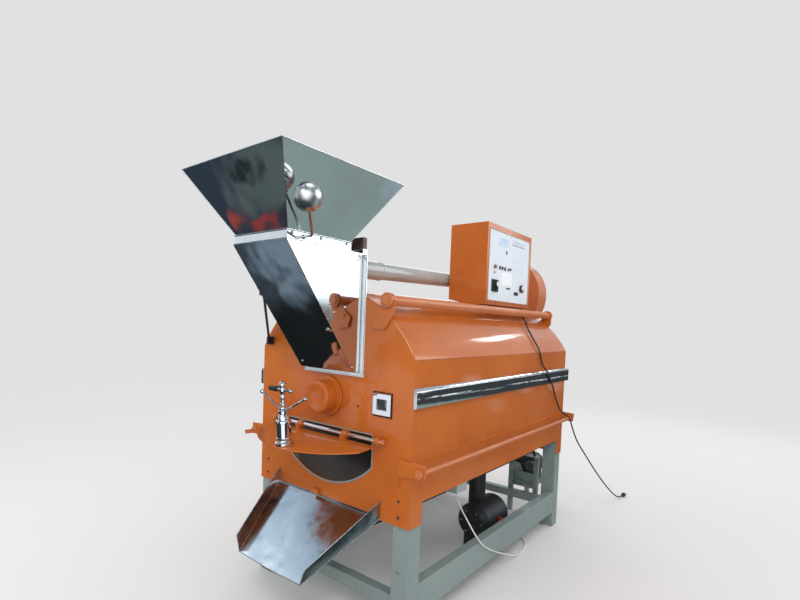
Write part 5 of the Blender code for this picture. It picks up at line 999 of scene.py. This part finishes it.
def make_clamp():
    """Clamp on the open door: collared barrel, wing arms, spindle with T lever, black grip and ball."""
    out, side = Vector((0, -0.069756, 0.997564)), Vector(RIGHT)
    barrel = lathed([(0.0375, 0.0), (0.039, 0.0012), (0.039, 0.0105), (0.0375, 0.012), (0.034, 0.0125),
                     (0.0305, 0.017), (0.0295, 0.021), (0.033, 0.026), (0.033, 0.031), (0.031, 0.033), (0.031, 0.094),
                     (0.033, 0.096), (0.033, 0.1045), (0.0315, 0.107), (0.0275, 0.110), (0.0270, 0.118),
                     (0.0235, 0.124), (0.0215, 0.133), (0.020, 0.1348), (0.0084, 0.1348)], CLAMP_FOOT, out, 64)
    finished(barrel, "clamp_barrel_skin", CHROME, "door", node="clamp_barrel")
    plane = [side * cos(turn) + out.cross(side) * sin(turn) for turn in round_turns(4, tau / 8)]
    heads = [(CLAMP_FOOT + outward * 0.0345 + out * 0.0115, tuple(out)) for outward in plane]
    fasteners("clamp_base_screws", round_head(0.0035), heads, ZINC, "door")
    wings = [lathed([(0.0205, 0.1353), (0.022, 0.137), (0.022, 0.148), (0.0195, 0.1505), (0.0185, 0.153),
                     (0.021, 0.156), (0.021, 0.161), (0.0195, 0.1633), (0.0084, 0.1633)], CLAMP_FOOT, out, 56)]
    for way in (1, -1):
        start = CLAMP_FOOT + side * way * 0.014 + out * 0.1493
        run = CLAMP_FOOT + side * way * 0.145 + out * 0.2153 - start
        length = run.length
        wings.append(lathed([(0.0068, 0), (0.0068, 0.010), (0.0050, 0.014), (0.0052, length * 0.6),
                             (0.0058, length - 0.012), (0.0046, length - 0.009), (0.0090, length - 0.005),
                             (0.0100, length + 0.001), (0.0086, length + 0.006), (0.0045, length + 0.0095),
                             (0.0006, length + 0.0100)], start, run.normalized(), 32))
    finished(joined(wings), "clamp_wings_skin", CHROME, "wings", node="clamp_wings")
    stem = lathed([(0.0078, 0.0203), (0.0078, 0.1655), (0.0115, 0.168), (0.0135, 0.174), (0.0115, 0.180),
                   (0.0080, 0.183), (0.0080, 0.196), (0.0125, 0.200), (0.0135, 0.206), (0.0105, 0.213),
                   (0.0085, 0.218), (0.0140, 0.224), (0.0160, 0.236), (0.0145, 0.246), (0.0090, 0.250)],
                  CLAMP_FOOT, out, 48)
    head = lathed(ball_profile(0.0165, 24, 0.0005), CLAMP_FOOT + out * 0.2585, out, 48)
    cross = CLAMP_FOOT + out * 0.238
    bar = lathed([(0.0050, -0.034), (0.0065, -0.033), (0.0065, 0.040), (0.0050, 0.043), (0.0085, 0.046),
                  (0.0100, 0.052), (0.0090, 0.059), (0.0050, 0.0635), (0.0006, 0.0645)], cross, side, 36)
    finished(joined([stem, head, bar]), "clamp_spindle_skin", CHROME, "spindle", node="clamp_spindle")
    grip = lathed([(0.0085, 0.030), (0.0105, 0.032), (0.0120, 0.040), (0.0118, 0.060), (0.0105, 0.074),
                   (0.0110, 0.080), (0.0100, 0.086), (0.0060, 0.0885)], cross, -side)
    finished(grip, "clamp_grip", BLACK, "spindle")


# Tray

def make_tray():
    dressed("discharge_tray", TRAY_STEEL, 0.0006)
    beads = []
    for side in (1, -1):
        beads.append(beaded([(side * 0.344, -0.004, 0.506), (side * 0.209, -0.320, 0.296)], 0.0022))
        beads.append(beaded([(side * 0.344, -0.003, 0.5850), (side * 0.232, -0.321, 0.3625),
                             (side * 0.209, -0.3218, 0.2960)], 0.0020))
    beads.append(beaded([(-0.209, -0.3218, 0.2955), (0, -0.3218, 0.2895), (0.209, -0.3218, 0.2955)], 0.0018))
    finished(joined(beads), "tray_seams_and_lip", MIRROR_SEAM)


# Control box

def on_panel(y_span, z_span, proud, round_over, segments=2):
    """A flat piece on the control panel, sunk a little into its face."""
    return block((PANEL_X - 0.0003, y_span[0], z_span[0]), (PANEL_X + proud, y_span[1], z_span[1]), round_over,
                 segments)


def make_control_box():
    dressed("control_box", ORANGE, 0.0035, 3)
    dressed("control_panel", FOIL, 0.0006)
    lip = [(PANEL_X + 0.0022, y, z) for y, z in ((0.945, 1.507), (1.507, 1.507), (1.507, 1.922), (0.945, 1.922))]
    finished(beaded(lip, 0.0026, 3, True), "panel_frame", PALE_EDGE_AND_HIGHLIGHT)
    screws = [(at(PANEL_X, y, z), RIGHT) for y in (0.957, 1.226, 1.495) for z in (1.518, 1.911)]
    fasteners("panel_screws", round_head(0.0040), screws, CHROME)
    for name, y_span, z_span, finish in (
            ("white_display", (1.120, 1.258), (1.606, 1.684), DISPLAY_WHITE),
            ("blue_display", (1.060, 1.190), (1.842, 1.888), DISPLAY_BLUE),
            ("bare_label", (1.240, 1.431), (1.882, 1.900), LABEL_GREY)):
        finished(on_panel(y_span, z_span, 0.0012, 0.0004), name, finish)
    marks = [on_panel((start, start + wide), span, 0.0020, 0.0006)
             for start, wide, span in ((1.079, 0.019, (1.697, 1.719)), (1.108, 0.010, (1.699, 1.718)),
                                       (1.123, 0.012, (1.699, 1.719)), (1.148, 0.021, (1.697, 1.718)),
                                       (1.194, 0.014, (1.699, 1.715)), (1.217, 0.012, (1.703, 1.719)),
                                       (1.235, 0.010, (1.703, 1.719)))]
    marks.append(on_panel((1.188, 1.238), (1.587, 1.596), 0.0020, 0.0008))
    marks.append(on_panel((1.299, 1.353), (1.557, 1.577), 0.0050, 0.0030, 3))
    finished(joined(marks), "dark_marks", PANEL_BLACK)
    starts = [1.250 + index * 0.0265 for index in range(7)]
    prints = [on_panel((start, start + 0.014), (1.864, 1.873), 0.0008, 0.0003) for start in starts]
    prints.append(on_panel((1.013, 1.030), (1.668, 1.677), 0.0010, 0.0003))
    finished(joined(prints), "printed_marks", MARK_GREY)
    square = [on_panel(y_span, z_span, 0.0006, 0.0002)
              for y_span, z_span in (((1.277, 1.405), (1.777, 1.780)), ((1.277, 1.405), (1.712, 1.715)),
                                     ((1.277, 1.280), (1.712, 1.780)), ((1.402, 1.405), (1.712, 1.780)))]
    finished(joined(square), "faint_square", LABEL_GREY)
    spot = lathed([(0.0115, 0), (0.0115, 0.0012), (0.0100, 0.002), (0.0010, 0.0022)], at(PANEL_X, 1.170, 1.808),
                  RIGHT, 28)
    finished(spot, "round_mark", MARK_GREY)
    lamp = lathed([(0.0095, 0), (0.0095, 0.003), (0.0080, 0.004), (0.0075, 0.008), (0.0050, 0.0105),
                   (0.0010, 0.0112)], at(PANEL_X, 1.024, 1.6875), RIGHT, 28)
    finished(lamp, "pale_lamp", PALE_LAMP_AND_HIGHLIGHT)
    make_switch()
    make_knob()
    make_button()


def make_switch():
    seat = 0.3138
    finished(block((PANEL_X - 0.001, 0.990, 1.560), (PANEL_X + 0.0102, 1.066, 1.632), 0.0050, 4), "switch_base",
             PANEL_BLACK)
    disc = lathed([(0.0205, 0), (0.021, 0.001), (0.021, 0.006), (0.0195, 0.0075)], at(seat, 1.027, 1.596), RIGHT, 48)
    bar = block((seat + 0.006, 1.018, 1.573), (seat + 0.013, 1.036, 1.619), 0.003, 3)
    finished(joined([disc, bar]), "main_switch_skin", PANEL_BLACK, "switch", node="main_switch")
    # Painted highlight: a pale disc on the black switch where light glints on it
    mark = lathed([(0.0130, 0), (0.0130, 0.0012), (0.0110, 0.0022), (0.0010, 0.0026)],
                  at(seat + 0.0128, 1.027, 1.604), RIGHT, 32)
    finished(mark, "switch_highlight_disc", PALE_LAMP_AND_HIGHLIGHT, "switch")


def make_knob():
    y_place, height = 1.398, 1.604
    knob = lathed([(0.0245, 0), (0.025, 0.001), (0.0245, 0.004), (0.0230, 0.006), (0.0225, 0.014), (0.0215, 0.0165),
                   (0.0180, 0.017)], at(0.3038, y_place, height), RIGHT, 56)
    rib = block((0.3105, -0.0012, 0.0220), (0.3195, 0.0012, 0.0240), 0.0003)
    set_down(rib, shifted(Vector((0, -FRONT, 0))))
    centre = shifted(at(0, y_place, height))
    ribs = placed_copies(rib, [centre @ Matrix.Rotation(turn, 4, "X") for turn in round_turns(20)])
    finished(joined([knob, *ribs]), "speed_knob_skin", KNOB_PURPLE, "knob", node="speed_knob")
    mark = lathed([(0.0165, 0), (0.0165, 0.0010), (0.0150, 0.0020), (0.0010, 0.0024)], at(0.3207, y_place, 1.606),
                  RIGHT, 32)
    finished(mark, "knob_mark", KNOB_PINK, "knob")


def make_button():
    y_place, height = 1.022, 1.708
    button = lathed([(0.0048, -0.012), (0.0048, 0), (0.0105, 0), (0.011, 0.0008), (0.011, 0.0070), (0.0100, 0.0086),
                     (0.0070, 0.0092), (0.0010, 0.0094)], at(0.3068, y_place, height), RIGHT, 36)
    finished(button, "start_button_skin", BUTTON_ORANGE, "button", node="start_button")
    ring = [(PANEL_X + 0.0012, y_place + 0.0132 * cos(turn), height + 0.0132 * sin(turn)) for turn in round_turns(36)]
    finished(beaded(ring, 0.0016, 3, True), "button_ring", CHROME)


# Drive

def chain_line():
    """Places of the chain's pins round both sprockets, and their true pitch."""
    lift = 0.0103           # the chain runs clear of the teeth, like its solid
    big, small = [CHAIN_PITCH / (2 * sin(pi / teeth)) + lift for teeth in (DRUM_TEETH, MOTOR_TEETH)]
    first, second = Vector((0, DRUM_Z)), Vector(MOTOR_SHAFT)
    away = second - first
    heading = atan2(away.y, away.x)
    wrap = acos((big - small) / away.length)
    points = arc_points(first, big, heading + wrap, heading + tau - wrap, 160)
    points += arc_points(second, small, heading - wrap, heading + wrap, 60)
    points = [Vector(point) for point in (*points, points[0])]
    places, pitch = even_places(points, 2 * round(length_of(points) / CHAIN_PITCH / 2))
    return places[:-1], pitch


def link_outline(pitch, waist, end):
    """A link plate's outline: two round ends and a waist."""
    right = arc_points((pitch / 2, 0), end, -pi / 2, pi / 2, 6)
    left = arc_points((-pitch / 2, 0), end, pi / 2, 3 * pi / 2, 6)
    return [*right, (0, waist), *left, (0, -waist)]


def make_chain():
    """Roller chain: a pair of plates and a roller for each pitch."""
    places, pitch = chain_line()
    models = []
    for offset in (0.0044, 0.0060):
        turns = [shifted((0, way * offset, 0)) @ Matrix.Rotation(pi / 2, 4, "X") for way in (1, -1)]
        models.append(joined([plate(link_outline(pitch, 0.0050, 0.0068), 0.0012, turn, 0.0002, 1) for turn in turns]))
    roller = lathed([(0.0050, -0.0037), (0.0050, 0.0037)], (0, 0, 0), BACKWARD, 12)
    copies = []
    for index, start in enumerate(places):
        end = places[(index + 1) % len(places)]
        run = end - start
        turn = Matrix.Rotation(-atan2(run.y, run.x), 4, "Y")
        for item, spot in ((models[index % 2], (start + end) / 2), (roller, start)):
            copy = new_object("link", item.data.copy())
            copy.matrix_world = shifted(at(spot.x, 1.796, spot.y)) @ turn
            copies.append(copy)
    for item in (*models, roller):
        bpy.data.objects.remove(item)
    finished(set_down(joined(copies)), "roller_chain", CHAIN_STEEL, node="drive_chain")


def make_drive():
    make_chain()
    dressed("drum_sprocket", SHAFT_STEEL, 0.0008)
    dressed("motor_sprocket", SHAFT_STEEL, 0.0008)
    hub = lathed([(0.045, 1.8023), (0.046, 1.8033), (0.046, 1.809), (0.044, 1.810)], at(0, 0, DRUM_Z), BACKWARD, 48)
    finished(hub, "sprocket_hub", SHAFT_STEEL, "drum_body")
    dressed("gear_motor", CAP_GREY, 0.0025, 3)
    rib = block((-0.001, 1.945, 0.068), (0.001, 2.040, 0.0765), 0.0003)
    centre = shifted(Vector((0.200, 0, 0.3175)))
    ribs = placed_copies(rib, [centre @ Matrix.Rotation(turn, 4, "Y") for turn in round_turns(30)])
    finished(joined(ribs), "gear_motor_ribs", CAP_GREY)
    finished(block((0.123, 1.7985, 0.261), (0.207, 1.8075, 0.346), 0.002, 3), "terminal_cover", PIPE_GREY)
    screws = [(at(x, 1.7985, z), FORWARD) for x in (0.130, 0.200) for z in (0.268, 0.339)]
    fasteners("terminal_screws", round_head(0.003), screws, ZINC)
    bolts = [(at(x, 1.83, 0.385), FORWARD) for x in (0.118, 0.292)]
    fasteners("gearbox_bolts", hex_head(0.010, 0.006), bolts, ZINC)


# Fire box, drum and burner

def make_inside():
    dressed("drum", DRUM_STEEL, 0.0006, 1, 50)
    dressed("drum_shaft", SHAFT_STEEL, 0.0006)
    dressed("fire_box", SOOT, 0.0008)
    finished(block((0.298, 0.558, 0.480), (0.387, 0.662, 0.5625), 0.002, 3), "junction_box_lid", PIPE_GREY)
    dressed("burner", SOOT, 0.002, 3)
    cap = lathed([(0.0185, 0), (0.020, 0.002), (0.020, 0.012), (0.015, 0.016), (0.009, 0.018)],
                 at(BURNER_X + 0.107, 1.050, BURNER_Z), RIGHT, 32)
    finished(cap, "burner_fitting_cap", RED_CAP)
    places = [(at(BURNER_X + 0.067 * cos(turn), y_place, BURNER_Z + 0.067 * sin(turn)), outward)
              for y_place, outward in ((0.900, FORWARD), (1.200, BACKWARD)) for turn in round_turns(6)]
    fasteners("burner_bolts", hex_head(0.009, 0.006), places, ZINC)


set_camera()
set_studio()
make_cords()
make_stand()
make_casing()
make_end_plates()
make_feed()
make_exhaust()
make_fan()
make_door()
make_tray()
make_control_box()
make_drive()
make_inside()
